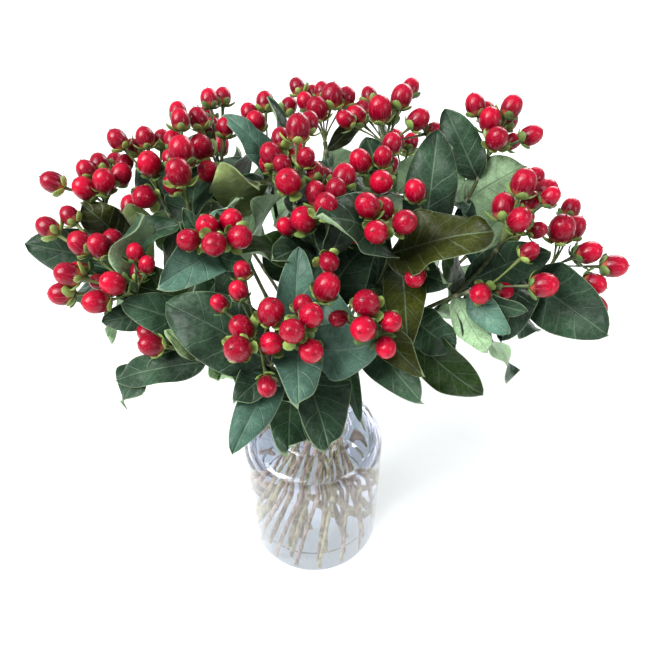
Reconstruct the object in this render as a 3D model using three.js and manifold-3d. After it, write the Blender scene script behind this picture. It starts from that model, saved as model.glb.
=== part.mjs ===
// A hand-tied bunch of hypericum (St John's wort) berry stems standing in a clear glass bottle vase with water.
// Units are millimetres, +Z is up, and the origin is the centre of the vase's foot.
// Each stem is two solids: the leafy stem, and the head of berries that it carries.
import * as THREE from 'three';
import { mergeVertices } from 'three/addons/utils/BufferGeometryUtils.js';
import Module from 'manifold-3d';

const wasm = await Module();
wasm.setup();

// ---- Driving dimensions -------------------------------------------------------------------------------

// The vase: a straight body on a flat floor, a round shoulder and a narrow neck with a rolled lip.
const BODY_RADIUS = 48;
const WALL = 3.5;
const FLOOR = 6;
const SHOULDER_START = 106;
const SHOULDER_TOP = 118;
const NECK_RADIUS = 23.5;
const VASE_HEIGHT = 150;
const WATER_TOP = 112;
const ROUND_SIDES = 32;
const CLEARANCE = 0.3;

// The stems cross in the neck on three rings: how many, the ring's radius there and its radius at the foot.
const RINGS = [
  { count: 4, waist: 3.9, foot: 13 },
  { count: 10, waist: 10.2, foot: 26 },
  { count: 15, waist: 16.4, foot: 38 },
];
const WAIST_HEIGHT = 134;
const RING_LAG = 58;
const STEM_SIDES = 5;
const STEM_FOOT_RADIUS = 1.4;
const STEM_TOP_RADIUS = 1.3;
const STEM_BENDS = 5;
const STEM_LIFT = 1;
const HEAD_LENGTH = 5;
const HEAD_GAP = 0.7;
const HUB_RADIUS = 2.2;

// Berries are egg-shaped, on thin stalks that spread from the end of the stem.
// A profile gives the radius and the place along the berry, as parts of its diameter and its length.
const BERRY_SIDES = 6;
const BERRY_LENGTH = 1.2;
const BERRY_PROFILE = [[0.48, 0.2], [0.52, 0.6], [0, 1]];
const STALK_RADIUS = 0.85;
const BERRY_ROOM = 0.54;
const DEPTH_STEPS = [0, 2, -2, 4, -4, 6, -6, 8, -8, 10, -10, 12, -12, 15, -15, 18, -18];
const STALK_SIDES = 3;

// Leaves are pointed ovals without stalks: the places along the blade and the width at each.
const BLADE_THICKNESS = 1.3;
const BLADE_STATIONS = [[0.13, 0.7], [0.42, 1.02], [0.76, 0.74]];
const BLADE_FOLD = 0.16;
const BLADE_WAVE = 0.05;
const LEAF_ROOT = 0.7;
const LEAF_SHARE = 14;

// A standing viewer's eye, from which the front of the bunch is laid out: a place is given as the part of
// the view across and down, out of VIEW_SIZE, and the distance from the eye.
const EYE = new THREE.Vector3(0, -298.8, 484.5);
const EYE_PITCH = 42.11;
const EYE_TURN = 1.61;
const VIEW_SIZE = 650;
const VIEW_FOCAL = 680;

// ---- The heads ----------------------------------------------------------------------------------------

// reach: distance from the eye to the head. fork: across, down, behind the reach, where the stalks meet.
// berries: across, down, diameter, behind. leaves: distance below the fork along the stem, then the tip's
// across, down and behind, then width, roll, arch and twist.
const FRONT_HEADS = [
  { reach: 372, fork: [106, 206, 12],
    berries: [[52, 182, 11.5, 0], [84, 188, 12, 0], [86, 170, 10.5, 7], [104, 180, 12, -4],
      [99, 163, 10.5, 8], [115, 161, 9.5, 12], [125, 163, 9.5, 8], [121, 174, 11.5, 2]],
    leaves: [[20, 82, 204, -4, 21, 10, 0.12, 0], [22, 177, 224, -2, 22, -45, 0.1, 0],
      [30, 24, 243, -6, 26, 0, 0.08, 0]] },
  { reach: 352, fork: [126, 282, 12],
    berries: [[69, 215, 9.5, 4], [47, 227, 11, 0], [80, 243, 12, -2], [99, 245, 11.5, -3],
      [113, 241, 11.5, 3]],
    leaves: [[12, 92, 262, 26, 20, 40, 0.1, 0]] },
  { reach: 338, fork: [140, 296, 12],
    berries: [[67, 274, 11.5, 0], [79, 271, 10, 9], [61, 294, 11.5, 0], [112, 283, 11.5, -5],
      [98, 282, 8, 5], [95, 302, 11.5, -2], [135, 252, 8.5, 2], [139, 271, 9, 8], [147, 264, 8, 1]],
    leaves: [[6, 92, 324, 8, 17, 0, 0.1, 0], [36, 116, 317, 6, 22, 10, 0.12, 0]] },
  { reach: 340, fork: [178, 350, 8],
    berries: [[147, 333, 9.5, 6], [150, 345, 11, -1], [163, 341, 8.5, 12]],
    leaves: [[10, 110, 364, 12, 16, 15, 0.1, 0], [5, 165, 330, -4, 9, 20, 0.1, 0],
      [24, 219, 380, 2, 18, 20, 0.15, 0]] },
  { reach: 380, fork: [160, 194, 14],
    berries: [[117, 139, 10.5, 0], [134, 147, 9, 12], [145, 137, 10.5, 4], [162, 139, 10, 8],
      [149, 163, 12.5, -9], [144, 197, 12.5, -12]],
    leaves: [[2, 139, 146, 4, 25, 0, 0.05, 0]] },
  { reach: 362, fork: [188, 204, 10],
    berries: [[180, 119, 10, 0], [178, 111, 9.5, 9], [173, 140, 10, 6], [181, 149, 13, -6],
      [170, 158, 8.5, 3], [178, 171, 13, -9], [173, 184, 10, -1]],
    leaves: [[22, 183, 209, 0, 10, 0, 0.1, 0]] },
  { reach: 386, fork: [222, 182, 10],
    berries: [[198, 118, 11, 0], [206, 115, 10, 10], [205, 130, 9.5, 2], [201, 146, 12.5, -8],
      [208, 171, 11.5, -9], [209, 98, 10, 8], [223, 96, 9.5, 11], [213, 124, 8, 7], [225, 127, 10, 0]],
    leaves: [] },
  { reach: 396, fork: [268, 150, 8],
    berries: [[249, 112, 10, 7], [256, 121, 11, -1], [265, 101, 10.5, 8], [289, 106, 10, 14]],
    leaves: [[12, 219, 117, -8, 16, 30, 0.25, 0], [16, 221, 196, -8, 14, 15, 0.1, 0]] },
  { reach: 326, fork: [216, 243, 24],
    berries: [[188, 240, 10.5, 0], [207, 226, 11, 1], [231, 220, 11, 4], [214, 244, 11.5, -6],
      [240, 237, 11.5, -2]],
    leaves: [[12, 159, 286, 0, 24, 15, 0.2, 0], [12, 246, 264, 12, 13, 0, 0.1, 0],
      [4, 229, 206, 20, 18, 0, 0.1, 0], [24, 196, 312, 18, 18, 0, 0.1, 0],
      [27, 217, 302, 18, 12, 0, 0.1, 0]] },
  { reach: 308, fork: [262, 350, 24],
    berries: [[242, 270, 8, 12], [238, 290, 8.5, 8], [219, 303, 8, 14], [271, 311, 12, -2],
      [241, 327, 11, 1], [237, 349, 12, -5], [271, 343, 10.5, 4], [267, 387, 9, 6]],
    leaves: [[8, 169, 304, 10, 33, 0, 0.1, 0], [22, 232, 456, 12, 18, 10, 0.12, 0],
      [16, 236, 400, 18, 18, 20, 0.1, 0], [66, 288, 452, 46, 27, 0, 0.12, 0]] },
  { reach: 306, fork: [303, 337, 26],
    berries: [[292, 331, 11, -1], [311, 315, 11, -3], [303, 305, 9.5, 10], [311, 351, 11, 0],
      [327, 286, 12, 6]],
    leaves: [[6, 378, 346, 12, 26, 20, 0.14, 0], [8, 299, 399, 2, 23, 0, 0.12, 0], [10, 299, 247, 30, 18, 0, 0.08, 0]] },
  { reach: 310, fork: [376, 316, 26],
    berries: [[366, 303, 12.5, 0], [363, 329, 11.5, -2], [391, 322, 10, 7], [386, 348, 9.5, 6],
      [338, 319, 8.5, 16]],
    leaves: [[36, 419, 400, 26, 22, 10, 0.12, 0], [20, 422, 376, 20, 16, 25, 0.1, 0],
      [60, 311, 447, 56, 20, 15, 0.12, 0], [56, 360, 421, 62, 9, 0, 0.1, 0]] },
  { reach: 335, fork: [318, 248, 26],
    berries: [[303, 219, 12, -2], [286, 226, 9, 10], [329, 262, 10, -2], [354, 235, 8.5, 18],
      [341, 243, 8, 26]],
    leaves: [[2, 273, 259, -2, 20, 35, 0.1, 0], [4, 373, 287, -6, 27, 10, 0.18, 0],
      [1, 295, 205, 18, 22, 0, 0.1, 0]] },
  { reach: 326, fork: [388, 237, 20],
    berries: [[367, 205, 11.5, -2], [384, 208, 10, 8], [376, 232, 11, -5], [405, 222, 11.5, -2]],
    leaves: [] },
  { reach: 330, fork: [328, 233, 14],
    berries: [[326, 205, 11.5, -7], [316, 193, 11, 2], [336, 189, 10, 1], [325, 176, 8.5, 12],
      [344, 176, 11.5, 4], [315, 171, 9, 10]],
    leaves: [[6, 352, 190, 20, 15, 20, 0.1, 0], [6, 304, 186, 18, 13, 10, 0.1, 0]] },
  { reach: 340, fork: [294, 196, 12],
    berries: [[298, 127, 12, -2], [309, 122, 10, 9], [281, 138, 10, 6], [271, 154, 11, 0],
      [267, 164, 8, 8], [282, 164, 9, -3], [288, 181, 12.5, -9], [306, 157, 9, 2], [293, 157, 8, 9]],
    leaves: [[1, 267, 77, 44, 20, 60, 0.05, 0]] },
  { reach: 388, fork: [325, 142, 10],
    berries: [[297, 86, 9, 6], [305, 101, 9.5, 4], [313, 93, 9, 12], [322, 90, 9, 9],
      [332, 95, 12.5, -1], [317, 108, 12, -5], [346, 97, 11, 5]],
    leaves: [[6, 330, 168, -14, 9, 0, 0.1, 0], [1, 364, 73, 20, 11, 30, 0.1, 0]] },
  { reach: 384, fork: [386, 150, 12],
    berries: [[345, 119, 9.5, -2], [356, 116, 11.5, 1], [363, 109, 9.5, 10], [369, 95, 9.5, 14],
      [380, 108, 13, -4], [391, 113, 10, 7], [402, 96, 12, 1], [411, 87, 10, 9], [419, 119, 11.5, 2],
      [434, 130, 9, 12]],
    leaves: [[14, 366, 137, 2, 20, 0, 0.05, 0], [1, 397, 85, 16, 8, 20, 0.1, 0]] },
  { reach: 350, fork: [378, 192, 18],
    berries: [[392, 143, 10, 4], [383, 156, 9.5, 2], [390, 164, 9, 10], [381, 182, 12, -4],
      [360, 160, 11, 2]],
    leaves: [] },
  { reach: 378, fork: [488, 156, 12],
    berries: [[475, 104, 11, -1], [486, 111, 10.5, 7], [490, 119, 12, -5], [512, 106, 11.5, 3],
      [509, 121, 10, 11], [497, 138, 12, -6], [513, 141, 9, 6], [532, 135, 11, 2]],
    leaves: [[22, 525, 166, -4, 27, 180, 0.1, 0], [24, 486, 280, -16, 14, 10, 0.1, 60],
      [26, 446, 142, 8, 13, 180, 0.1, 0], [10, 446, 110, 18, 20, 0, 0.1, 0],
      [27, 466, 206, -2, 10, 20, 0.1, 0]] },
  { reach: 345, fork: [502, 242, 12],
    berries: [[504, 206, 12.5, -1], [524, 182, 12.5, -3], [535, 177, 10, 8], [531, 201, 9.5, 1],
      [546, 191, 12, 4], [551, 196, 9, 13], [520, 219, 11.5, -8], [538, 230, 8.5, 5],
      [513, 235, 8.5, 2]],
    leaves: [[26, 546, 262, -14, 22, 20, -0.18, 0], [1, 563, 214, 16, 13, 20, 0.1, 0]] },
  { reach: 362, fork: [548, 268, 12],
    berries: [[562, 228, 13.5, -4], [575, 227, 11.5, 7], [571, 208, 10.5, 7], [590, 252, 11.5, 0],
      [582, 253, 9.5, 10], [615, 266, 12, 1], [595, 284, 11, -2], [595, 307, 12, -4]],
    leaves: [[3, 552, 238, 2, 16, 0, 0.1, 0], [8, 614, 336, -6, 32, 5, 0.1, 0],
      [9, 503, 339, 0, 21, 0, 0.1, 0]] },
  { reach: 345, fork: [428, 240, 20],
    berries: [[415, 190, 10.5, -2], [443, 226, 8.5, 6], [446, 243, 8.5, 4], [462, 239, 8, 12],
      [415, 277, 10.5, 0]],
    leaves: [[28, 409, 351, -8, 21, 10, 0.12, 0], [4, 438, 129, 14, 26, 5, 0.08, 0],
      [2, 462, 227, 0, 13, 20, 0.1, 0], [16, 446, 262, 0, 20, 20, 0.1, 0]] },
  { reach: 345, fork: [484, 288, 8],
    berries: [[480, 294, 10.5, -2], [504, 291, 9, 5], [530, 251, 9, -4], [545, 285, 12, -6]],
    leaves: [[10, 488, 352, -2, 15, 170, 0.1, 0], [5, 508, 334, 2, 14, 10, 0.1, 0],
      [3, 528, 311, 4, 10, 30, 0.1, 0], [46, 483, 396, 24, 23, 10, 0.12, 0],
      [38, 456, 349, 16, 22, 15, 0.12, 0], [52, 446, 357, 26, 9, 0, 0.1, 0]] },
];

// The far side of the bunch: the compass bearing of each head, how far it leans and how long it is.
const BACK_HEADS = [
  { bearing: 32, lean: 56, length: 168 },
  { bearing: 62, lean: 52, length: 176 },
  { bearing: 94, lean: 58, length: 170 },
  { bearing: 120, lean: 50, length: 172 },
  { bearing: 148, lean: 58, length: 164 },
];
const BACK_BERRIES = 5;

// Leaves beyond the listed ones, in pairs: distance below the fork, length and width. A front stem is
// topped up to FRONT_LEAVES, and a back one carries them all.
const FRONT_LEAVES = 4;
const MORE_LEAVES = [[44, 56, 34], [36, 58, 34], [8, 58, 31], [14, 60, 32]];

// A stem that would cross another piece bows aside by one of these distances, in one of these directions.
const BOWS = [0, 6, 12, 18, 25, 33, 42, 52];
const BOW_WAYS = 12;

// A leaf that would cross another piece is bent clear by one of these pitches, turns and shortenings.
const PITCHES = [0, 7, -7, 14, -14, 22, -22, 32, -32, 44, -44];
const TURNS = [0, 8, -8, 16, -16, 26, -26, 38, -38];
const SCALES = [1, 0.86, 0.72, 0.58];

// Fused bodies are cleaned with the first of these sizes that leaves no detail finer than FINEST_DETAIL.
const SLIVER_SIZES = [0.06, 0.02];
const SLIMMING = [1, 0.99, 0.98, 0.97, 0.96, 0.95, 0.94, 0.93, 0.92, 0.91, 0.9, 0.89, 0.88];
const FINEST_DETAIL = 0.005;

// ---- Small helpers ------------------------------------------------------------------------------------

const rad = THREE.MathUtils.degToRad;
const UP = new THREE.Vector3(0, 0, 1);
const pitch = rad(EYE_PITCH);
const turn = rad(EYE_TURN);
const eyeForward = new THREE.Vector3(
  Math.sin(turn) * Math.cos(pitch), Math.cos(turn) * Math.cos(pitch), -Math.sin(pitch));
const eyeRight = new THREE.Vector3(Math.cos(turn), -Math.sin(turn), 0);
const eyeUp = new THREE.Vector3().crossVectors(eyeRight, eyeForward);

function seen(across, down, distance) {
  const scale = distance / VIEW_FOCAL;
  return EYE.clone()
    .addScaledVector(eyeForward, distance)
    .addScaledVector(eyeRight, (across - VIEW_SIZE / 2) * scale)
    .addScaledVector(eyeUp, (VIEW_SIZE / 2 - down) * scale);
}

function bearing(degrees, lean, length) {
  const a = rad(degrees);
  const b = rad(lean);
  return new THREE.Vector3(Math.cos(a) * Math.sin(b), Math.sin(a) * Math.sin(b), Math.cos(b))
    .multiplyScalar(length);
}

// The part of v that is square to axis, as a unit vector.
function squareTo(v, axis) {
  return v.clone().addScaledVector(axis, -v.dot(axis)).normalize();
}

// Bodies from corner points and triangles.
function bodyOf(points, triangles) {
  const flat = points.flatMap((p) => [p.x, p.y, p.z]);
  return new wasm.Manifold(new wasm.Mesh({
    numProp: 3,
    vertProperties: new Float32Array(flat),
    triVerts: new Uint32Array(triangles.flat()),
  }));
}

function bodyOfGeometry(geometry) {
  const bare = geometry.index ? geometry.toNonIndexed() : geometry.clone();
  bare.deleteAttribute('normal');
  bare.deleteAttribute('uv');
  const merged = mergeVertices(bare, 1e-4);
  const index = [];
  for (let i = 0; i < merged.index.count; i += 3) {
    const [a, b, c] = merged.index.array.slice(i, i + 3);
    if (a !== b && b !== c && c !== a) index.push(a, b, c);
  }
  return new wasm.Manifold(new wasm.Mesh({
    numProp: 3,
    vertProperties: merged.attributes.position.array,
    triVerts: new Uint32Array(index),
  }));
}

// The shortest distance between two corners of a body, or height of one of its triangles.
function finest(body) {
  const { numProp, vertProperties, triVerts } = body.getMesh();
  const corners = [];
  for (let i = 0; i < vertProperties.length; i += numProp) {
    corners.push(new THREE.Vector3(...vertProperties.slice(i, i + 3)));
  }
  let least = Infinity;
  corners.forEach((a, i) => {
    for (let k = i + 1; k < corners.length; k += 1) least = Math.min(least, a.distanceTo(corners[k]));
  });
  for (let i = 0; i < triVerts.length; i += 3) {
    const [a, b, c] = [0, 1, 2].map((k) => corners[triVerts[i + k]]);
    const longest = Math.max(a.distanceTo(b), b.distanceTo(c), c.distanceTo(a));
    least = Math.min(least, b.clone().sub(a).cross(c.clone().sub(a)).length() / longest);
  }
  return least;
}

// Pieces fused into one body, without sealed hollows and slivers too fine to make. Slivers come from where
// three skins meet, so the body that the rest grow from is made a little slimmer until there are none.
function fused(core, pieces) {
  let best = null;
  let finestSoFar = 0;
  for (const slimness of SLIMMING) {
    const whole = wasm.Manifold.union([core(slimness), ...pieces]);
    for (const size of SLIVER_SIZES) {
      const shells = whole.simplify(size).decompose();
      const body = shells.reduce((largest, shell) => (shell.volume() > largest.volume() ? shell : largest));
      const detail = finest(body);
      if (detail > finestSoFar) {
        best = body;
        finestSoFar = detail;
      }
      if (finestSoFar > FINEST_DETAIL) return best;
    }
  }
  return best;
}

function geometryOf(body) {
  const mesh = body.getMesh();
  const geometry = new THREE.BufferGeometry();
  const corners = new Float32Array(mesh.triVerts.length * 3);
  mesh.triVerts.forEach((vertex, i) => {
    for (let k = 0; k < 3; k += 1) {
      corners[3 * i + k] = mesh.vertProperties[vertex * mesh.numProp + k];
    }
  });
  geometry.setAttribute('position', new THREE.BufferAttribute(corners, 3));
  geometry.computeVertexNormals();
  return geometry;
}

// A round skin over a row of rings, each with a centre, a radius and a number of sides. A ring may have
// twice the sides of the one before, and a radius of nothing closes the end in a point.
function skin(rings, along) {
  const corners = [];
  const faces = [];
  let side = null;
  rings.forEach((ring, i) => {
    const before = rings[Math.max(i - 1, 0)].centre;
    const after = rings[Math.min(i + 1, rings.length - 1)].centre;
    const way = along ?? after.clone().sub(before).normalize();
    side = squareTo(side ?? (Math.abs(way.z) > 0.9 ? new THREE.Vector3(1, 0, 0) : UP), way);
    const other = new THREE.Vector3().crossVectors(way, side);
    ring.first = corners.length;
    ring.count = ring.radius > 0 ? ring.sides : 1;
    for (let k = 0; k < ring.count; k += 1) {
      const a = (2 * Math.PI * k) / ring.count;
      corners.push(ring.centre.clone()
        .addScaledVector(side, Math.cos(a) * ring.radius)
        .addScaledVector(other, Math.sin(a) * ring.radius));
    }
  });
  for (let i = 0; i < rings.length - 1; i += 1) {
    const low = rings[i];
    const high = rings[i + 1];
    const up = (k) => high.first + (k % high.count);
    for (let k = 0; k < low.count; k += 1) {
      const a = low.first + k;
      const b = low.first + ((k + 1) % low.count);
      if (high.count === 1) faces.push([a, b, high.first]);
      else if (low.count === 1) {
        for (let j = 0; j < high.count; j += 1) faces.push([a, up(j + 1), up(j)]);
      }
      else if (high.count === low.count) faces.push([a, b, up(k + 1)], [a, up(k + 1), up(k)]);
      else {
        faces.push([a, up(2 * k + 1), up(2 * k)], [a, b, up(2 * k + 1)]);
        faces.push([b, up(2 * k + 2), up(2 * k + 1)]);
      }
    }
  }
  const last = rings[rings.length - 1];
  for (let k = 1; k < rings[0].count - 1; k += 1) faces.push([0, k + 1, k]);
  for (let k = 1; k < last.count - 1; k += 1) faces.push([last.first, last.first + k, last.first + k + 1]);
  return bodyOf(corners, faces);
}

function rod(points, radii, sides) {
  return skin(points.map((centre, i) => ({ centre, radius: radii[i], sides })));
}

// ---- Vase and water -----------------------------------------------------------------------------------

function arc(centreRadius, centreHeight, radius, from, to, steps) {
  const points = [];
  for (let i = 0; i <= steps; i += 1) {
    const a = rad(from + ((to - from) * i) / steps);
    points.push([centreRadius + radius * Math.cos(a), centreHeight + radius * Math.sin(a)]);
  }
  return points;
}

function turned(profile) {
  return bodyOfGeometry(new THREE.LatheGeometry(
    profile.map(([radius, height]) => new THREE.Vector2(radius, height)), ROUND_SIDES)
    .rotateX(Math.PI / 2));
}

const SHOULDER_ROUND = SHOULDER_TOP - SHOULDER_START;
const INNER_RADIUS = BODY_RADIUS - WALL;
const SHOULDER_CENTRE = BODY_RADIUS - SHOULDER_ROUND;

function makeVase() {
  const neckInner = NECK_RADIUS - WALL;
  return turned([
    [0, 0],
    [BODY_RADIUS - 4, 0],
    [BODY_RADIUS, 5],
    ...arc(SHOULDER_CENTRE, SHOULDER_START, SHOULDER_ROUND, 0, 90, 2),
    [NECK_RADIUS + 1.5, SHOULDER_TOP + 3],
    [NECK_RADIUS, SHOULDER_TOP + 10],
    [NECK_RADIUS, VASE_HEIGHT - 5],
    [NECK_RADIUS + 2, VASE_HEIGHT],
    [neckInner, VASE_HEIGHT],
    [neckInner, SHOULDER_TOP + 8],
    [NECK_RADIUS, SHOULDER_TOP],
    ...arc(SHOULDER_CENTRE, SHOULDER_START, SHOULDER_ROUND - WALL, 90, 0, 2),
    [INNER_RADIUS, FLOOR],
    [0, FLOOR],
  ]);
}

function makeWater(routes) {
  const inside = INNER_RADIUS - CLEARANCE;
  const top = WATER_TOP - SHOULDER_START;
  const reach = Math.sqrt((SHOULDER_ROUND - WALL) ** 2 - top ** 2);
  const holes = routes.map((route) => {
    const way = route.foot.clone().sub(route.rim).normalize();
    const low = route.foot.clone().addScaledVector(way, 5);
    const high = route.rim.clone();
    return rod([low, high], [0, 1].map(() => STEM_FOOT_RADIUS + 1.4 * CLEARANCE), STEM_SIDES);
  });
  return turned([
    [0, FLOOR + CLEARANCE],
    [inside, FLOOR + CLEARANCE],
    [inside, SHOULDER_START],
    [SHOULDER_CENTRE + reach * 0.93, WATER_TOP],
    [0, WATER_TOP],
  ]).subtract(wasm.Manifold.union(holes));
}

// ---- Heads --------------------------------------------------------------------------------------------

// The back heads hold their berries in two whorls round the head's own axis.
function backHead({ bearing: compass, lean, length }) {
  const fork = bearing(compass, lean, length).add(new THREE.Vector3(0, 0, WAIST_HEIGHT));
  const axis = bearing(compass, lean - 16, 1);
  const side = squareTo(UP, axis);
  const other = new THREE.Vector3().crossVectors(axis, side);
  const berries = [];
  for (let k = 0; k < BACK_BERRIES; k += 1) {
    const around = rad(137.5 * k + compass);
    const spread = k === 0 ? 0 : 12 + 2.2 * k;
    berries.push({
      fork,
      centre: fork.clone()
        .addScaledVector(axis, 25 - 1.5 * k)
        .addScaledVector(side, Math.cos(around) * spread)
        .addScaledVector(other, Math.sin(around) * spread),
      diameter: 10.5 + (k % 3) * 0.8,
    });
  }
  return { fork, berries, leaves: [] };
}

// The distance between a place and the line from one point to another.
function lineGap(place, from, to) {
  const line = to.clone().sub(from);
  const part = THREE.MathUtils.clamp(place.clone().sub(from).dot(line) / line.lengthSq(), 0, 1);
  return place.distanceTo(from.clone().addScaledVector(line, part));
}

// Berries stay where the eye sees them, and move nearer or further until none touches another or its stalk.
const berriesSoFar = [];

function roomFor(fork, across, down, distance, diameter) {
  const choices = DEPTH_STEPS.map((step) => {
    const centre = seen(across, down, distance + step);
    const room = berriesSoFar.map((other) => Math.min(
      centre.distanceTo(other.centre) - BERRY_ROOM * (diameter + other.diameter),
      lineGap(other.centre, fork, centre) - BERRY_ROOM * other.diameter - STALK_RADIUS,
      lineGap(centre, other.fork, other.centre) - BERRY_ROOM * diameter - STALK_RADIUS));
    return { fork, centre, diameter, room: Math.min(...room, 2 * CLEARANCE) };
  });
  const berry = choices.find(({ room }) => room > CLEARANCE)
    ?? choices.reduce((best, choice) => (choice.room > best.room ? choice : best));
  berriesSoFar.push(berry);
  return berry;
}

function frontHead({ reach, fork, berries, leaves }) {
  const start = seen(fork[0], fork[1], reach + fork[2]);
  return {
    fork: start,
    berries: [...berries].sort((a, b) => a[3] - b[3])
      .map(([across, down, diameter, behind]) => roomFor(start, across, down, reach + behind, diameter)),
    leaves: leaves.map(([below, across, down, behind, width, roll, arch, twist]) => ({
      below, tip: seen(across, down, reach + behind), width, roll, arch, twist,
    })),
  };
}

const heads = [...FRONT_HEADS.map(frontHead), ...BACK_HEADS.map(backHead)];
heads.forEach((head, i) => {
  const middle = new THREE.Vector3();
  head.berries.forEach(({ centre }) => middle.addScaledVector(centre, 1 / head.berries.length));
  head.number = String(i + 1).padStart(2, '0');
  head.aim = middle.sub(head.fork).normalize();
  head.neck = head.fork.clone().addScaledVector(head.aim, -HEAD_LENGTH);
  head.compass = Math.atan2(head.fork.y, head.fork.x);
  head.lean = Math.atan2(Math.hypot(head.fork.x, head.fork.y), head.fork.z - WAIST_HEIGHT);
});

// Upright heads take the inner ring, leaning ones the outer, each ring in the order of its bearings.
function ringRoutes() {
  const waiting = [...heads].sort((a, b) => a.lean - b.lean);
  RINGS.forEach(({ count, waist, foot }) => {
    const ring = waiting.splice(0, count).sort((a, b) => a.compass - b.compass);
    const step = (2 * Math.PI) / count;
    const start = ring.reduce((sum, head, k) => sum + head.compass - k * step, 0) / count;
    const skew = Math.sqrt(foot ** 2 - waist ** 2) / (WAIST_HEIGHT - FLOOR);
    ring.forEach((head, k) => {
      const angle = start + k * step - rad(RING_LAG);
      const waistPoint = new THREE.Vector3(
        waist * Math.cos(angle), waist * Math.sin(angle), WAIST_HEIGHT);
      const way = new THREE.Vector3(-skew * Math.sin(angle), skew * Math.cos(angle), 1);
      const at = (height) => waistPoint.clone().addScaledVector(way, height - WAIST_HEIGHT);
      head.foot = at(FLOOR + STEM_LIFT);
      head.rim = at(VASE_HEIGHT);
      head.way = way.normalize();
    });
  });
}

// A stem is straight through the vase, and bows from the rim to its head, aside where it has to.
function stemRoute({ neck, aim, foot, rim, way }, aside) {
  const span = neck.distanceTo(rim);
  const bow = new THREE.CubicBezierCurve3(
    rim,
    rim.clone().addScaledVector(way, span * 0.35).add(aside),
    neck.clone().addScaledVector(aim, -span * 0.3).addScaledVector(aside, 0.4),
    neck);
  return { foot, rim, points: [foot, ...bow.getPoints(STEM_BENDS)] };
}

// The place on a stem's route that lies a given distance below its head.
function below(route, distance) {
  let left = distance;
  for (let i = route.points.length - 1; i > 0; i -= 1) {
    const run = route.points[i].distanceTo(route.points[i - 1]);
    if (left <= run) return route.points[i].clone().lerp(route.points[i - 1], left / run);
    left -= run;
  }
  return route.points[0].clone();
}

function makeStem(route, slimness = 1) {
  const last = route.points.length - 1;
  const radii = route.points.map((_, i) => (
    slimness * (STEM_FOOT_RADIUS + (STEM_TOP_RADIUS - STEM_FOOT_RADIUS) * (i / last))));
  return rod(route.points, radii, STEM_SIDES);
}

// A berry and its stalk are one skin, from the fork to the berry's tip.
function makeBerry({ fork, centre, diameter }) {
  const aim = centre.clone().sub(fork).normalize();
  const length = diameter * BERRY_LENGTH;
  const bottom = centre.clone().addScaledVector(aim, -length / 2);
  return skin([
    { centre: fork, radius: 0, sides: STALK_SIDES },
    { centre: fork.clone().addScaledVector(aim, 2 * HUB_RADIUS), radius: STALK_RADIUS, sides: STALK_SIDES },
    { centre: bottom, radius: STALK_RADIUS, sides: STALK_SIDES },
    ...BERRY_PROFILE.map(([radius, along]) => ({
      centre: bottom.clone().addScaledVector(aim, along * length),
      radius: radius * diameter,
      sides: BERRY_SIDES,
    })),
  ], aim);
}

function makeHead(head) {
  const along = (distance) => head.fork.clone().addScaledVector(head.aim, distance);
  const hub = (slimness) => rod([along(HEAD_GAP - HEAD_LENGTH), along(-1.2), along(1.4)],
    [STEM_TOP_RADIUS, HUB_RADIUS * slimness, HUB_RADIUS * slimness * 0.75], STEM_SIDES);
  return fused(hub, head.berries.map(makeBerry));
}

// ---- Leaves -------------------------------------------------------------------------------------------

function makeLeaf({ base, chord, face, width, arch, twist }) {
  const length = chord.length();
  const along = chord.clone().normalize();
  const point = (u, across, lift) => {
    const spin = rad(twist) * u;
    const up = face.clone().applyAxisAngle(along, spin);
    const side = new THREE.Vector3().crossVectors(up, along);
    return base.clone()
      .addScaledVector(chord, u)
      .addScaledVector(face, 4 * arch * length * u * (1 - u))
      .addScaledVector(side, across)
      .addScaledVector(up, lift);
  };
  const corners = [point(0, 0, 0)];
  BLADE_STATIONS.forEach(([u, part], i) => {
    const half = (width / 2) * part;
    const wave = (i % 2 ? 1 : -1) * BLADE_WAVE * width;
    corners.push(
      point(u, half, BLADE_FOLD * half + wave),
      point(u, 0, BLADE_THICKNESS / 2),
      point(u, -half, BLADE_FOLD * half - wave),
      point(u, 0, -BLADE_THICKNESS / 2));
  });
  const tip = corners.length;
  corners.push(point(1, 0, 0));
  // Every four-cornered face is cut from its edge corner to its midrib corner, so that the upper and the
  // lower skin stay one above the other where the blade is waved.
  const faces = [];
  for (let k = 0; k < 4; k += 1) {
    const next = (k + 1) % 4;
    faces.push([0, 1 + next, 1 + k], [tip, tip - 4 + k, tip - 4 + next]);
    for (let i = 0; i < BLADE_STATIONS.length - 1; i += 1) {
      const a = 1 + 4 * i + k;
      const b = 1 + 4 * i + next;
      if (k % 2) faces.push([a, b, a + 4], [b, b + 4, a + 4]);
      else faces.push([a, b, b + 4], [a, b + 4, a + 4]);
    }
  }
  return bodyOf(corners, faces);
}

// Where a leaf grows from: just inside the stem's skin, on the side that the leaf leaves by.
function leafBase(route, distance, direction) {
  const middle = below(route, distance);
  const up = below(route, distance - 2).sub(middle).normalize();
  return middle.addScaledVector(squareTo(direction, up), LEAF_ROOT);
}

// The leaves that a head's list gives: each faces the viewer before its roll.
function listedLeaves(head) {
  return head.leaves.map((leaf) => {
    const base = leafBase(head.route, leaf.below, leaf.tip.clone().sub(below(head.route, leaf.below)));
    const chord = leaf.tip.clone().sub(base);
    const along = chord.clone().normalize();
    const face = squareTo(EYE.clone().sub(base), along).applyAxisAngle(along, rad(leaf.roll));
    return { ...leaf, base, chord, face };
  });
}

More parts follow.
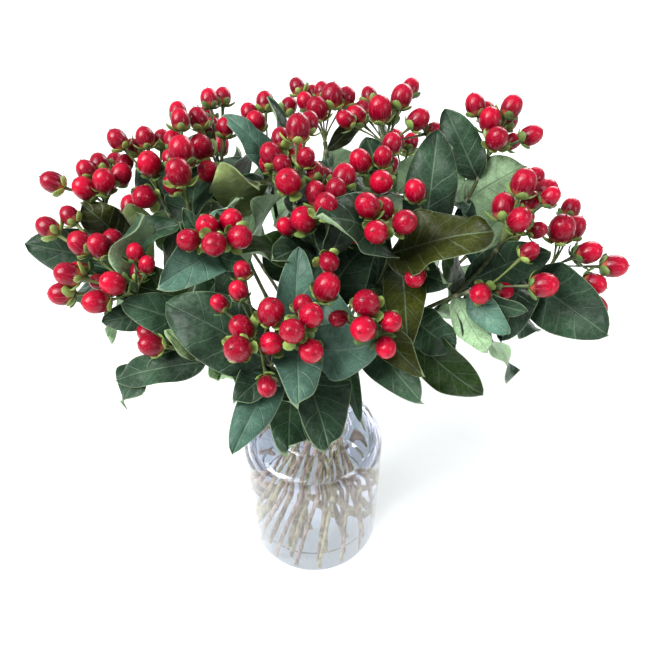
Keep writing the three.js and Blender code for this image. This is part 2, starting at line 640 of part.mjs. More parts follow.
// Leaves that follow the plant's rule: opposite pairs, each pair a quarter turn round from the last.
function ruledLeaves(head, list, first) {
  return list.map(([distance, length, width], k) => {
    const middle = below(head.route, distance);
    const up = below(head.route, distance - 2).sub(middle).normalize();
    const out = squareTo(new THREE.Vector3(middle.x, middle.y, 0), up);
    const spin = first + 180 * k + 90 * Math.floor(k / 2);
    const along = out.applyAxisAngle(up, rad(spin)).multiplyScalar(0.86).addScaledVector(up, 0.5)
      .normalize();
    return {
      base: leafBase(head.route, distance, along),
      chord: along.clone().multiplyScalar(length),
      face: squareTo(up, along),
      width,
      arch: 0.1,
      twist: 0,
    };
  });
}

// ---- Assembly -----------------------------------------------------------------------------------------

ringRoutes();
const placed = [];

function clear(body, owner) {
  const box = body.boundingBox();
  return placed.every((other) => {
    if (other.owner === owner) return true;
    if (other.owner === `${owner} leaves`) return body.intersect(other.body).volume() < LEAF_SHARE;
    const apart = [0, 1, 2].some((k) => (
      box.min[k] > other.box.max[k] + CLEARANCE || box.max[k] < other.box.min[k] - CLEARANCE));
    return apart || body.minGap(other.body, 2 * CLEARANCE) > CLEARANCE * 0.9;
  });
}

function keep(body, owner) {
  placed.push({ body, owner, box: body.boundingBox() });
  return body;
}

const bendings = SCALES.flatMap((scale) => PITCHES.flatMap((lift) => TURNS.map((swing) => (
  { scale, lift, swing, cost: Math.abs(lift) + Math.abs(swing) + 90 * (1 - scale) }))))
  .sort((a, b) => a.cost - b.cost);

function bentClear(leaf, owner) {
  const along = leaf.chord.clone().normalize();
  const side = new THREE.Vector3().crossVectors(along, leaf.face);
  for (const { scale, lift, swing } of bendings) {
    const bend = (v) => v.clone().applyAxisAngle(side, rad(lift)).applyAxisAngle(leaf.face, rad(swing));
    const body = makeLeaf({
      ...leaf,
      chord: bend(leaf.chord).multiplyScalar(scale),
      face: bend(leaf.face),
      width: leaf.width * scale,
    });
    if (clear(body, owner)) return keep(body, `${owner} leaves`);
  }
  return null;
}

const group = new THREE.Group();
const glass = new THREE.MeshStandardMaterial({ color: '#dfe8f2', roughness: 0.05, metalness: 0 });
const water = new THREE.MeshStandardMaterial({ color: '#c9d6df', roughness: 0.05, metalness: 0 });
const leafGreen = new THREE.MeshStandardMaterial({ color: '#3f5a45', roughness: 0.45, metalness: 0 });
const berryRed = new THREE.MeshStandardMaterial({ color: '#c8183c', roughness: 0.25, metalness: 0 });

function addNode(name, body, material) {
  const mesh = new THREE.Mesh(geometryOf(body), material);
  mesh.name = name;
  group.add(mesh);
}

addNode('vase', keep(makeVase(), 'vase'), glass);
addNode('water', makeWater(heads), water);

heads.forEach((head) => {
  head.cluster = keep(makeHead(head), `${head.number} berries`);
});
[...heads].sort((a, b) => a.neck.z - b.neck.z).forEach((head) => {
  for (let i = 0; !head.stem; i += 1) {
    const angle = (2 * Math.PI * i) / BOW_WAYS;
    const aside = new THREE.Vector3(Math.cos(angle), Math.sin(angle), 0)
      .multiplyScalar(BOWS[Math.floor(i / BOW_WAYS)]);
    const route = stemRoute(head, aside);
    const body = makeStem(route);
    if (clear(body, head.number)) {
      head.stem = keep(body, head.number);
      head.route = route;
    }
  }
});
// The leaves nearest the eye are placed first, so that those behind give way.
const listed = heads.flatMap((head) => listedLeaves(head).map((leaf) => ({ head, leaf })));
const depthOf = ({ leaf }) => leaf.chord.clone().multiplyScalar(0.6).add(leaf.base).sub(EYE).dot(eyeForward);
listed.sort((a, b) => depthOf(a) - depthOf(b));
heads.forEach((head) => { head.blades = []; });
listed.forEach(({ head, leaf }) => {
  head.blades.push(bentClear(leaf, head.number));
});
heads.forEach((head, i) => {
  const more = i < FRONT_HEADS.length ? FRONT_LEAVES - head.leaves.length : MORE_LEAVES.length;
  ruledLeaves(head, MORE_LEAVES.slice(0, Math.max(more, 0)), 35 * i).forEach((leaf) => {
    head.blades.push(bentClear(leaf, head.number));
  });
  const leafyStem = fused((slimness) => makeStem(head.route, slimness), head.blades.filter(Boolean));
  addNode(`leafy_stem_${head.number}`, leafyStem, leafGreen);
  addNode(`berry_head_${head.number}`, head.cluster, berryRed);
});

export default group;
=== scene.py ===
"""A bunch of hypericum (St John's wort) berry stems in a clear glass bottle vase, as a Blender add-on."""
import math
import random
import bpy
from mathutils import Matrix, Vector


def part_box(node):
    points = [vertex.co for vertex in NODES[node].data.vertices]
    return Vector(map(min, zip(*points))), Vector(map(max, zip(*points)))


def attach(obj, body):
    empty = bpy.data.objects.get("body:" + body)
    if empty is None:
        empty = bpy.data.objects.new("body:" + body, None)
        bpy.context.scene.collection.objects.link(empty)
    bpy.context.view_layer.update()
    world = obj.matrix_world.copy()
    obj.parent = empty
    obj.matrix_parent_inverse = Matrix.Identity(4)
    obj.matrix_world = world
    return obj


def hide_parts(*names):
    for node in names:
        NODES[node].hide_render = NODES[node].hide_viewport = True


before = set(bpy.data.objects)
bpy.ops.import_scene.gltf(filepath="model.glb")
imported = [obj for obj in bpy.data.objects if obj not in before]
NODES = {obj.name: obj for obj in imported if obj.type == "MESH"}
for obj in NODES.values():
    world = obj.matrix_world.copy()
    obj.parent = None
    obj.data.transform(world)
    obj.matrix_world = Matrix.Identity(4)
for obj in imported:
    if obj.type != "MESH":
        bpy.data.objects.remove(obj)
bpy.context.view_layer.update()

from types import SimpleNamespace

import bpy
from bpy.props import FloatProperty, FloatVectorProperty, IntProperty, PointerProperty
from mathutils import Quaternion, Vector
from mathutils.kdtree import KDTree

bl_info = {
    "name": "Hypericum bunch",
    "version": (1, 0, 0),
    "blender": (4, 5, 0),
    "location": "3D View > Sidebar > Bunch",
    "description": "Builds a bunch of hypericum berry stems in a glass vase of water",
    "category": "Add Mesh",
}

# Lengths in this file are millimetres unless a name says otherwise; meshes are made in metres.
MM = 0.001

# ---- The plant's layout: the same rules as the solids, from the same dimensions ------------------------

VASE_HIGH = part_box("vase")[1] / MM
BODY_RADIUS = round(VASE_HIGH.x, 2)
VASE_HEIGHT = round(VASE_HIGH.z, 2)
WATER_TOP = round(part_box("water")[1].z / MM, 2)
WALL = 3.5
FLOOR = 6
HEEL = 33
HEEL_STEP = 1.1
SHOULDER_START = 106
SHOULDER_TOP = 118
NECK_RADIUS = 23.5

# How many stems, their radius at the waist and at the foot.
RINGS = [(4, 3.9, 13), (10, 10.2, 26), (15, 16.4, 38)]
WAIST_HEIGHT = 134
RING_LAG = 58
STEM_FOOT_RADIUS = 1.4
STEM_TOP_RADIUS = 1.3
STEM_ROUND = 0.86  # a round stem against a five-sided one that is as thick on average
STEM_BENDS = 5
STEM_LIFT = 1
HEAD_LENGTH = 5
HOLD_START, HOLD_END = 0.35, 0.3  # how firmly a curve holds its first and its last direction
BOW_AT_HEAD = 0.4  # how much of a stem's bow is left near its head
STEM_STEP = 2  # a short way along a stem, to find its direction

BERRY_LENGTH = 1.2
BERRY_ROOM = 0.54
STALK_RADIUS = 0.85
CLEARANCE = 0.3
DEPTH_STEPS = [0, 2, -2, 4, -4, 6, -6, 8, -8, 10, -10, 12, -12, 15, -15, 18, -18]

BLADE_FOLD = 0.16
BLADE_WAVE = 0.05
LEAF_ROOT = 0.7
LEAF_ARCH = 0.1

EYE = Vector((0, -298.8, 484.5))
EYE_PITCH = math.radians(42.11)
EYE_TURN = math.radians(1.61)
VIEW_SIZE = 650
VIEW_FOCAL = 680

# Reach, fork (across, down, behind), berries (across, down, diameter, behind), leaves (distance below the
# fork, across, down, behind and width, and where they matter roll, arch and twist), tone of each leaf.
FRONT_HEADS = [
    (372, (106, 206, 12),
     [(52, 182, 11.5, 0), (84, 188, 12, 0), (86, 170, 10.5, 7), (104, 180, 12, -4),
      (99, 163, 10.5, 8), (115, 161, 9.5, 12), (125, 163, 9.5, 8), (121, 174, 11.5, 2)],
     [(20, 82, 204, -4, 21, 10, 0.12), (22, 177, 224, -2, 22, -45),
      (30, 24, 243, -6, 26, 0, 0.08)], "odd"),
    (352, (126, 282, 12),
     [(69, 215, 9.5, 4), (47, 227, 11, 0), (80, 243, 12, -2), (99, 245, 11.5, -3),
      (113, 241, 11.5, 3)],
     [(12, 92, 262, 26, 20, 40)], "d"),
    (338, (140, 296, 12),
     [(67, 274, 11.5, 0), (79, 271, 10, 9), (61, 294, 11.5, 0), (112, 283, 11.5, -5),
      (98, 282, 8, 5), (95, 302, 11.5, -2), (135, 252, 8.5, 2), (139, 271, 9, 8), (147, 264, 8, 1)],
     [(6, 92, 324, 8, 17), (36, 116, 317, 6, 22, 10, 0.12)], "dd"),
    (340, (178, 350, 8),
     [(147, 333, 9.5, 6), (150, 345, 11, -1), (163, 341, 8.5, 12)],
     [(10, 110, 364, 12, 16, 15), (5, 165, 330, -4, 9, 20),
      (24, 219, 380, 2, 18, 20, 0.15)], "dpg"),
    (380, (160, 194, 14),
     [(117, 139, 10.5, 0), (134, 147, 9, 12), (145, 137, 10.5, 4), (162, 139, 10, 8),
      (149, 163, 12.5, -9), (144, 197, 12.5, -12)],
     [(2, 139, 146, 4, 25, 0, 0.05)], "d"),
    (362, (188, 204, 10),
     [(180, 119, 10, 0), (178, 111, 9.5, 9), (173, 140, 10, 6), (181, 149, 13, -6),
      (170, 158, 8.5, 3), (178, 171, 13, -9), (173, 184, 10, -1)],
     [(22, 183, 209, 0, 10)], "d"),
    (386, (222, 182, 10),
     [(198, 118, 11, 0), (206, 115, 10, 10), (205, 130, 9.5, 2), (201, 146, 12.5, -8),
      (208, 171, 11.5, -9), (209, 98, 10, 8), (223, 96, 9.5, 11), (213, 124, 8, 7), (225, 127, 10, 0)],
     [], ""),
    (396, (268, 150, 8),
     [(249, 112, 10, 7), (256, 121, 11, -1), (265, 101, 10.5, 8), (289, 106, 10, 14)],
     [(12, 219, 117, -8, 16, 30, 0.25), (16, 221, 196, -8, 14, 15)], "bd"),
    (326, (216, 243, 24),
     [(188, 240, 10.5, 0), (207, 226, 11, 1), (231, 220, 11, 4), (214, 244, 11.5, -6),
      (240, 237, 11.5, -2)],
     [(12, 159, 286, 0, 24, 15, 0.2), (12, 246, 264, 12, 13),
      (4, 229, 206, 20, 18), (24, 196, 312, 18, 18),
      (27, 217, 302, 18, 12)], "bdbdd"),
    (308, (262, 350, 24),
     [(242, 270, 8, 12), (238, 290, 8.5, 8), (219, 303, 8, 14), (271, 311, 12, -2),
      (241, 327, 11, 1), (237, 349, 12, -5), (271, 343, 10.5, 4), (267, 387, 9, 6)],
     [(8, 169, 304, 10, 33), (22, 232, 456, 12, 18, 10, 0.12),
      (16, 236, 400, 18, 18, 20), (66, 288, 452, 46, 27, 0, 0.12)], "dbdd"),
    (306, (303, 337, 26),
     [(292, 331, 11, -1), (311, 315, 11, -3), (303, 305, 9.5, 10), (311, 351, 11, 0),
      (327, 286, 12, 6)],
     [(6, 378, 346, 12, 26, 20, 0.14), (8, 299, 399, 2, 23, 0, 0.12),
      (10, 299, 247, 30, 18, 0, 0.08)], "bbb"),
    (310, (376, 316, 26),
     [(366, 303, 12.5, 0), (363, 329, 11.5, -2), (391, 322, 10, 7), (386, 348, 9.5, 6),
      (338, 319, 8.5, 16)],
     [(36, 419, 400, 26, 22, 10, 0.12), (20, 422, 376, 20, 16, 25),
      (60, 311, 447, 56, 20, 15, 0.12), (56, 360, 421, 62, 9)], "dodd"),
    (335, (318, 248, 26),
     [(303, 219, 12, -2), (286, 226, 9, 10), (329, 262, 10, -2), (354, 235, 8.5, 18),
      (341, 243, 8, 26)],
     [(2, 273, 259, -2, 20, 35), (4, 373, 287, -6, 27, 10, 0.18),
      (1, 295, 205, 18, 22)], "dbd"),
    (326, (388, 237, 20),
     [(367, 205, 11.5, -2), (384, 208, 10, 8), (376, 232, 11, -5), (405, 222, 11.5, -2)],
     [], ""),
    (330, (328, 233, 14),
     [(326, 205, 11.5, -7), (316, 193, 11, 2), (336, 189, 10, 1), (325, 176, 8.5, 12),
      (344, 176, 11.5, 4), (315, 171, 9, 10)],
     [(6, 352, 190, 20, 15, 20), (6, 304, 186, 18, 13, 10)], "dd"),
    (340, (294, 196, 12),
     [(298, 127, 12, -2), (309, 122, 10, 9), (281, 138, 10, 6), (271, 154, 11, 0),
      (267, 164, 8, 8), (282, 164, 9, -3), (288, 181, 12.5, -9), (306, 157, 9, 2), (293, 157, 8, 9)],
     [(1, 267, 77, 44, 20, 60, 0.05)], "d"),
    (388, (325, 142, 10),
     [(297, 86, 9, 6), (305, 101, 9.5, 4), (313, 93, 9, 12), (322, 90, 9, 9),
      (332, 95, 12.5, -1), (317, 108, 12, -5), (346, 97, 11, 5)],
     [(6, 330, 168, -14, 9), (1, 364, 73, 20, 11, 30)], "do"),
    (384, (386, 150, 12),
     [(345, 119, 9.5, -2), (356, 116, 11.5, 1), (363, 109, 9.5, 10), (369, 95, 9.5, 14),
      (380, 108, 13, -4), (391, 113, 10, 7), (402, 96, 12, 1), (411, 87, 10, 9), (419, 119, 11.5, 2),
      (434, 130, 9, 12)],
     [(14, 366, 137, 2, 20, 0, 0.05), (1, 397, 85, 16, 8, 20)], "dg"),
    (350, (378, 192, 18),
     [(392, 143, 10, 4), (383, 156, 9.5, 2), (390, 164, 9, 10), (381, 182, 12, -4),
      (360, 160, 11, 2)],
     [], ""),
    (378, (488, 156, 12),
     [(475, 104, 11, -1), (486, 111, 10.5, 7), (490, 119, 12, -5), (512, 106, 11.5, 3),
      (509, 121, 10, 11), (497, 138, 12, -6), (513, 141, 9, 6), (532, 135, 11, 2)],
     [(22, 525, 166, -4, 27, 180), (24, 486, 280, -16, 14, 10, 0.1, 60),
      (26, 446, 142, 8, 13, 180), (10, 446, 110, 18, 20),
      (27, 466, 206, -2, 10, 20)], "dbddb"),
    (345, (502, 242, 12),
     [(504, 206, 12.5, -1), (524, 182, 12.5, -3), (535, 177, 10, 8), (531, 201, 9.5, 1),
      (546, 191, 12, 4), (551, 196, 9, 13), (520, 219, 11.5, -8), (538, 230, 8.5, 5),
      (513, 235, 8.5, 2)],
     [(26, 546, 262, -14, 22, 20, -0.18), (1, 563, 214, 16, 13, 20)], "dd"),
    (362, (548, 268, 12),
     [(562, 228, 13.5, -4), (575, 227, 11.5, 7), (571, 208, 10.5, 7), (590, 252, 11.5, 0),
      (582, 253, 9.5, 10), (615, 266, 12, 1), (595, 284, 11, -2), (595, 307, 12, -4)],
     [(3, 552, 238, 2, 16), (8, 614, 336, -6, 32, 5),
      (9, 503, 339, 0, 21)], "ddd"),
    (345, (428, 240, 20),
     [(415, 190, 10.5, -2), (443, 226, 8.5, 6), (446, 243, 8.5, 4), (462, 239, 8, 12),
      (415, 277, 10.5, 0)],
     [(28, 409, 351, -8, 21, 10, 0.12), (4, 438, 129, 14, 26, 5, 0.08),
      (2, 462, 227, 0, 13, 20), (16, 446, 262, 0, 20, 20)], "oddd"),
    (345, (484, 288, 8),
     [(480, 294, 10.5, -2), (504, 291, 9, 5), (530, 251, 9, -4), (545, 285, 12, -6)],
     [(10, 488, 352, -2, 15, 170), (5, 508, 334, 2, 14, 10),
      (3, 528, 311, 4, 10, 30), (46, 483, 396, 24, 23, 10, 0.12),
      (38, 456, 349, 16, 22, 15, 0.12), (52, 446, 357, 26, 9)], "dbdgdg"),
]
BACK_HEADS = [(32, 56, 168), (62, 52, 176), (94, 58, 170), (120, 50, 172), (148, 58, 164)]
BACK_BERRIES = 5
BACK_NOD = 16  # how many degrees more upright a back head is than its stem
BACK_RISE, BACK_RISE_STEP = 25, 1.5
BACK_SPREAD, BACK_SPREAD_STEP = 12, 2.2
BACK_DIAMETER, BACK_DIAMETER_STEP = 10.5, 0.8
GOLDEN_ANGLE = 137.5
FRONT_LEAVES = 4
MORE_LEAVES = [(44, 56, 34), (36, 58, 34), (8, 58, 31), (14, 60, 32)]  # below the fork, length, width
MORE_TONES = "dgdo"
MORE_OUT, MORE_UP = 0.86, 0.5
MORE_TURN = 35  # degrees from one stem's first leaf to the next one's

# The bows and bends that keep stems and leaves apart; the solids show which of them each one took.
BOWS = [0, 6, 12, 18, 25, 33, 42, 52]
BOW_WAYS = 12
PITCHES = [0, 7, -7, 14, -14, 22, -22, 32, -32, 44, -44]
TURNS = [0, 8, -8, 16, -16, 26, -26, 38, -38]
SCALES = [1, 0.86, 0.72, 0.58]
FITS_WITHIN = 1
STEM_SEED, LEAF_SEED, BERRY_SEED = 100, 200, 300

eye_forward = Vector((
    math.sin(EYE_TURN) * math.cos(EYE_PITCH),
    math.cos(EYE_TURN) * math.cos(EYE_PITCH),
    -math.sin(EYE_PITCH)))
eye_right = Vector((math.cos(EYE_TURN), -math.sin(EYE_TURN), 0))
eye_up = eye_right.cross(eye_forward)
UP = Vector((0, 0, 1))


def seen(across, down, distance):
    """The place that the eye sees across and down its view, at a distance."""
    scale = distance / VIEW_FOCAL
    return (EYE + eye_forward * distance + eye_right * (across - VIEW_SIZE / 2) * scale
            + eye_up * (VIEW_SIZE / 2 - down) * scale)


def bearing(degrees, lean, length):
    """A vector by its compass bearing and its lean from upright."""
    a, b = math.radians(degrees), math.radians(lean)
    return Vector((math.cos(a) * math.sin(b), math.sin(a) * math.sin(b), math.cos(b))) * length


def square_to(v, axis):
    """The part of v that is square to axis, as a unit vector."""
    return (v - axis * v.dot(axis)).normalized()


def turned_about(v, axis, degrees):
    return Quaternion(axis, math.radians(degrees)) @ v


def line_gap(place, start, end):
    """The distance between a place and the line from one point to another."""
    line = end - start
    part = min(max((place - start).dot(line) / line.length_squared, 0), 1)
    return (place - start - line * part).length


def room_for(fork, across, down, distance, diameter, earlier):
    """The centre of a berry, moved nearer or further until it touches no earlier one and no stalk."""
    best_room, best = -math.inf, None
    for step in DEPTH_STEPS:
        centre = seen(across, down, distance + step)
        room = min([2 * CLEARANCE] + [min(
            (centre - other.centre).length - BERRY_ROOM * (diameter + other.diameter),
            line_gap(other.centre, fork, centre) - BERRY_ROOM * other.diameter - STALK_RADIUS,
            line_gap(centre, other.fork, other.centre) - BERRY_ROOM * diameter - STALK_RADIUS,
        ) for other in earlier])
        if room > CLEARANCE:
            return centre
        if room > best_room:
            best_room, best = room, centre
    return best


def listed_leaf(reach, tone, below, across, down, behind, width, roll=0, arch=LEAF_ARCH, twist=0):
    return SimpleNamespace(below=below, tip=seen(across, down, reach + behind), width=width,
                           roll=roll, arch=arch, twist=twist, tone=tone)


def front_head(row, earlier):
    reach, fork, berries, leaves, tones = row
    start = seen(fork[0], fork[1], reach + fork[2])
    mine = []
    for across, down, diameter, behind in sorted(berries, key=lambda berry: berry[3]):
        centre = room_for(start, across, down, reach + behind, diameter, earlier)
        mine.append(SimpleNamespace(fork=start, centre=centre, diameter=diameter))
        earlier.append(mine[-1])
    listed = [listed_leaf(reach, tone, *leaf) for leaf, tone in zip(leaves, tones)]
    return SimpleNamespace(fork=start, berries=mine, listed=listed)


def back_head(compass, lean, length):
    fork = bearing(compass, lean, length) + Vector((0, 0, WAIST_HEIGHT))
    axis = bearing(compass, lean - BACK_NOD, 1)
    side = square_to(UP, axis)
    other = axis.cross(side)
    berries = []
    for k in range(BACK_BERRIES):
        around = math.radians(GOLDEN_ANGLE * k + compass)
        spread = BACK_SPREAD + BACK_SPREAD_STEP * k if k else 0
        centre = (fork + axis * (BACK_RISE - BACK_RISE_STEP * k) + side * math.cos(around) * spread
                  + other * math.sin(around) * spread)
        berries.append(SimpleNamespace(fork=fork, centre=centre,
                                       diameter=BACK_DIAMETER + (k % 3) * BACK_DIAMETER_STEP))
    return SimpleNamespace(fork=fork, berries=berries, listed=[])


def lay_ring_routes(heads):
    """Upright heads take the inner ring, leaning ones the outer, each in the order of its bearings."""
    waiting = sorted(heads, key=lambda head: head.lean)
    for count, waist, foot in RINGS:
        ring = sorted(waiting[:count], key=lambda head: head.compass)
        waiting = waiting[count:]
        step = 2 * math.pi / count
        start = sum(head.compass - k * step for k, head in enumerate(ring)) / count
        skew = math.sqrt(foot ** 2 - waist ** 2) / (WAIST_HEIGHT - FLOOR)
        for k, head in enumerate(ring):
            angle = start + k * step - math.radians(RING_LAG)
            at_waist = Vector((waist * math.cos(angle), waist * math.sin(angle), WAIST_HEIGHT))
            way = Vector((-skew * math.sin(angle), skew * math.cos(angle), 1))
            head.foot = at_waist + way * (FLOOR + STEM_LIFT - WAIST_HEIGHT)
            head.rim = at_waist + way * (VASE_HEIGHT - WAIST_HEIGHT)
            head.way = way.normalized()


def bezier(controls, t):
    a, b, c, d = controls
    s = 1 - t
    return a * s ** 3 + b * 3 * s * s * t + c * 3 * s * t * t + d * t ** 3


def stem_route(head, aside):
    """A stem is straight through the vase, and bows from the rim to its head."""
    span = (head.neck - head.rim).length
    controls = (head.rim, head.rim + head.way * span * HOLD_START + aside,
                head.neck - head.aim * span * HOLD_END + aside * BOW_AT_HEAD, head.neck)
    points = [head.foot] + [bezier(controls, i / STEM_BENDS) for i in range(STEM_BENDS + 1)]
    return SimpleNamespace(controls=controls, points=points)


def below(points, distance):
    """The place on a route that lies a given distance below its head."""
    for high, low in zip(reversed(points), reversed(points[:-1])):
        run = (high - low).length
        if distance <= run:
            return high.lerp(low, distance / run)
        distance -= run
    return points[0].copy()


def on_stem(points, distance):
    """The place on a stem a given distance below its head, and the stem's direction there."""
    middle = below(points, distance)
    return middle, (below(points, distance - STEM_STEP) - middle).normalized()


def leaf_base(points, distance, direction):
    middle, up = on_stem(points, distance)
    return middle + square_to(direction, up) * LEAF_ROOT


def listed_leaves(head):
    leaves = []
    for leaf in head.listed:
        base = leaf_base(head.points, leaf.below, leaf.tip - below(head.points, leaf.below))
        chord = leaf.tip - base
        along = chord.normalized()
        face = turned_about(square_to(EYE - base, along), along, leaf.roll)
        leaves.append(SimpleNamespace(base=base, chord=chord, face=face, width=leaf.width, arch=leaf.arch,
                                      twist=leaf.twist, below=leaf.below, tone=leaf.tone))
    return leaves


def ruled_leaves(head, rows, first):
    """Opposite pairs, each pair a quarter turn round from the last."""
    leaves = []
    for k, (distance, length, width) in enumerate(rows):
        middle, up = on_stem(head.points, distance)
        out = square_to(Vector((middle.x, middle.y, 0)), up)
        away = turned_about(out, up, first + 180 * k + 90 * (k // 2))
        along = (away * MORE_OUT + up * MORE_UP).normalized()
        leaves.append(SimpleNamespace(base=leaf_base(head.points, distance, along), chord=along * length,
                                      face=square_to(up, along), width=width, arch=LEAF_ARCH, twist=0,
                                      below=distance, tone=MORE_TONES[k]))
    return leaves


def corners_of(node):
    """A search tree of a solid's corners, in millimetres."""
    vertices = NODES[node].data.vertices
    tree = KDTree(len(vertices))
    for i, vertex in enumerate(vertices):
        tree.insert(vertex.co / MM, i)
    tree.balance()
    return tree


def stem_radius(run, total):
    """A stem thins evenly from its foot to its head."""
    return STEM_FOOT_RADIUS + (STEM_TOP_RADIUS - STEM_FOOT_RADIUS) * run / total


def fitting_route(head, corners):
    """The bow whose bends lie in the middle of the solid's rings of corners."""
    def misfit(route):
        total = 0
        for k, point in enumerate(route.points[2:-1], start=2):
            total += abs(corners.find(point)[2] - stem_radius(k, STEM_BENDS + 1))
        return total

    routes = [stem_route(head, Vector())]
    for size in BOWS[1:]:
        for k in range(BOW_WAYS):
            angle = 2 * math.pi * k / BOW_WAYS
            routes.append(stem_route(head, Vector((math.cos(angle), math.sin(angle), 0)) * size))
    return min(routes, key=misfit)


BENDINGS = [(scale, lift, swing) for scale in SCALES for lift in PITCHES for swing in TURNS]


def fitting_leaf(leaf, corners):
    """The leaf as the solid holds it: bent clear of its neighbours, or None if it was left out."""
    side = leaf.chord.normalized().cross(leaf.face)

    def bent(vector, lift, swing):
        return turned_about(turned_about(vector, side, lift), leaf.face, swing)

    def miss(bend):
        scale, lift, swing = bend
        return corners.find(leaf.base + bent(leaf.chord, lift, swing) * scale)[2]

    scale, lift, swing = min(BENDINGS, key=miss)
    if miss((scale, lift, swing)) > FITS_WITHIN:
        return None
    leaf.chord, leaf.face = bent(leaf.chord, lift, swing) * scale, bent(leaf.face, lift, swing)
    leaf.width *= scale
    return leaf


def lay_out():
    """All heads with their berries, routes and leaves."""
    earlier = []
    heads = [front_head(row, earlier) for row in FRONT_HEADS] + [back_head(*row) for row in BACK_HEADS]
    for i, head in enumerate(heads):
        middle = sum((berry.centre for berry in head.berries), Vector()) / len(head.berries)
        head.number = f"{i + 1:02d}"
        head.aim = (middle - head.fork).normalized()
        head.neck = head.fork - head.aim * HEAD_LENGTH
        head.compass = math.atan2(head.fork.y, head.fork.x)
        head.lean = math.atan2(math.hypot(head.fork.x, head.fork.y), head.fork.z - WAIST_HEIGHT)
    lay_ring_routes(heads)
    for i, head in enumerate(heads):
        corners = corners_of(f"leafy_stem_{head.number}")
        route = fitting_route(head, corners)
        head.points, head.controls = route.points, route.controls
        extra = FRONT_LEAVES - len(head.listed) if i < len(FRONT_HEADS) else len(MORE_LEAVES)
        leaves = listed_leaves(head) + ruled_leaves(head, MORE_LEAVES[:max(extra, 0)], MORE_TURN * i)
        head.leaves = [leaf for leaf in (fitting_leaf(leaf, corners) for leaf in leaves) if leaf]
    return heads


# ---- Small helpers -------------------------------------------------------------------------------------

def linear(colour):
    """An sRGB hex colour as linear RGBA."""
    parts = (int(colour[i:i + 2], 16) / 255 for i in (1, 3, 5))
    return (*(c / 12.92 if c <= 0.04045 else ((c + 0.055) / 1.055) ** 2.4 for c in parts), 1)


def put(tree, kind, inputs=None, **settings):
    """Adds a node: settings are its own properties, inputs are values, or sockets to link from."""
    node = tree.nodes.new(kind)
    for name, value in settings.items():
        setattr(node, name, value)
    for key, value in (inputs or {}).items():
        if isinstance(value, bpy.types.NodeSocket):
            tree.links.new(value, node.inputs[key])
        else:
            node.inputs[key].default_value = value
    return node


def new_material(name):
    """An empty material, its tree, and the socket of its surface."""
    material = bpy.data.materials.new(name)
    material.use_nodes = True
    tree = material.node_tree
    tree.nodes.clear()
    return material, tree, put(tree, "ShaderNodeOutputMaterial").inputs["Surface"]


def mesh_object(name, points, faces, materials=(), edges=()):
    """A mesh from points in millimetres."""
    mesh = bpy.data.meshes.new(name)
    mesh.from_pydata([Vector(point) * MM for point in points], edges, faces)
    mesh.polygons.foreach_set("use_smooth", [True] * len(mesh.polygons))
    for material in materials:
        mesh.materials.append(material)
    piece = bpy.data.objects.new(name, mesh)
    bpy.context.scene.collection.objects.link(piece)
    return piece


def store(mesh, name, kind, values):
    """Keeps a value for each point of a mesh, for a node tree or a material to read."""
    layer = mesh.attributes.new(name, kind, "POINT")
    field = {"FLOAT_VECTOR": "vector", "FLOAT_COLOR": "color"}.get(kind, "value")
    flat = [part for value in values for part in value] if field != "value" else list(values)
    layer.data.foreach_set(field, flat)


def finished(piece, slot, *nodes):
    """Attaches a finished piece to the root body, and hides the solids that it dresses."""
    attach(piece, "root")
    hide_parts(*nodes)


def settled(piece, tree, values):
    """Runs a Geometry Nodes tree on a piece, and leaves it a plain mesh."""
    modifier = piece.modifiers.new(tree.name, "NODES")
    modifier.node_group = tree
    for item in tree.interface.items_tree:
        if item.item_type == "SOCKET" and item.in_out == "INPUT" and item.name in values:
            modifier[item.identifier] = values[item.name]
    depsgraph = bpy.context.evaluated_depsgraph_get()
    mesh = bpy.data.meshes.new_from_object(
        piece.evaluated_get(depsgraph), preserve_all_data_layers=True, depsgraph=depsgraph)
    piece.modifiers.clear()
    mesh.name = piece.name
    piece.data = mesh


# ---- Materials -----------------------------------------------------------------------------------------

def maths(tree, operation, *values):
    return put(tree, "ShaderNodeMath", dict(enumerate(values)), operation=operation).outputs[0]


def ranged(tree, value, low, high, start=0.0, end=1.0):
    """From start to end, as the value goes from low to high."""
    return put(tree, "ShaderNodeMapRange", {0: value, 1: low, 2: high, 3: start, 4: end}).outputs[0]


def blend(tree, part, first, second):
    """A part of the way from one colour to another."""
    return put(tree, "ShaderNodeMix", {0: part, 6: first, 7: second}, data_type="RGBA").outputs[2]


def dimmed(tree, colour, light):
    return put(tree, "ShaderNodeVectorMath", {0: colour, "Scale": light}, operation="SCALE").outputs[0]


def noise(tree, place, size, detail=2.0, output="Fac"):
    """Noise in clouds of a size."""
    return put(tree, "ShaderNodeTexNoise", {
        "Vector": place, "Scale": 1 / size, "Detail": detail}).outputs[output]


def kept(tree, name, output="Fac"):
    """A value kept on the mesh by store."""
    return put(tree, "ShaderNodeAttribute", attribute_name=name).outputs[output]


def object_place(tree):
    return put(tree, "ShaderNodeTexCoord").outputs["Object"]


def axes(tree, place):
    return put(tree, "ShaderNodeSeparateXYZ", {0: place}).outputs


def bumped(tree, height, strength, depth):
    return put(tree, "ShaderNodeBump", {
        "Height": height, "Strength": strength, "Distance": depth * MM}).outputs["Normal"]


def principled(tree, colour, roughness, **more):
    """A Principled surface; other inputs by their names, with underscores for spaces."""
    inputs = {"Base Color": colour, "Roughness": roughness}
    inputs.update((name.replace("_", " "), value) for name, value in more.items())
    return put(tree, "ShaderNodeBsdfPrincipled", inputs).outputs[0]


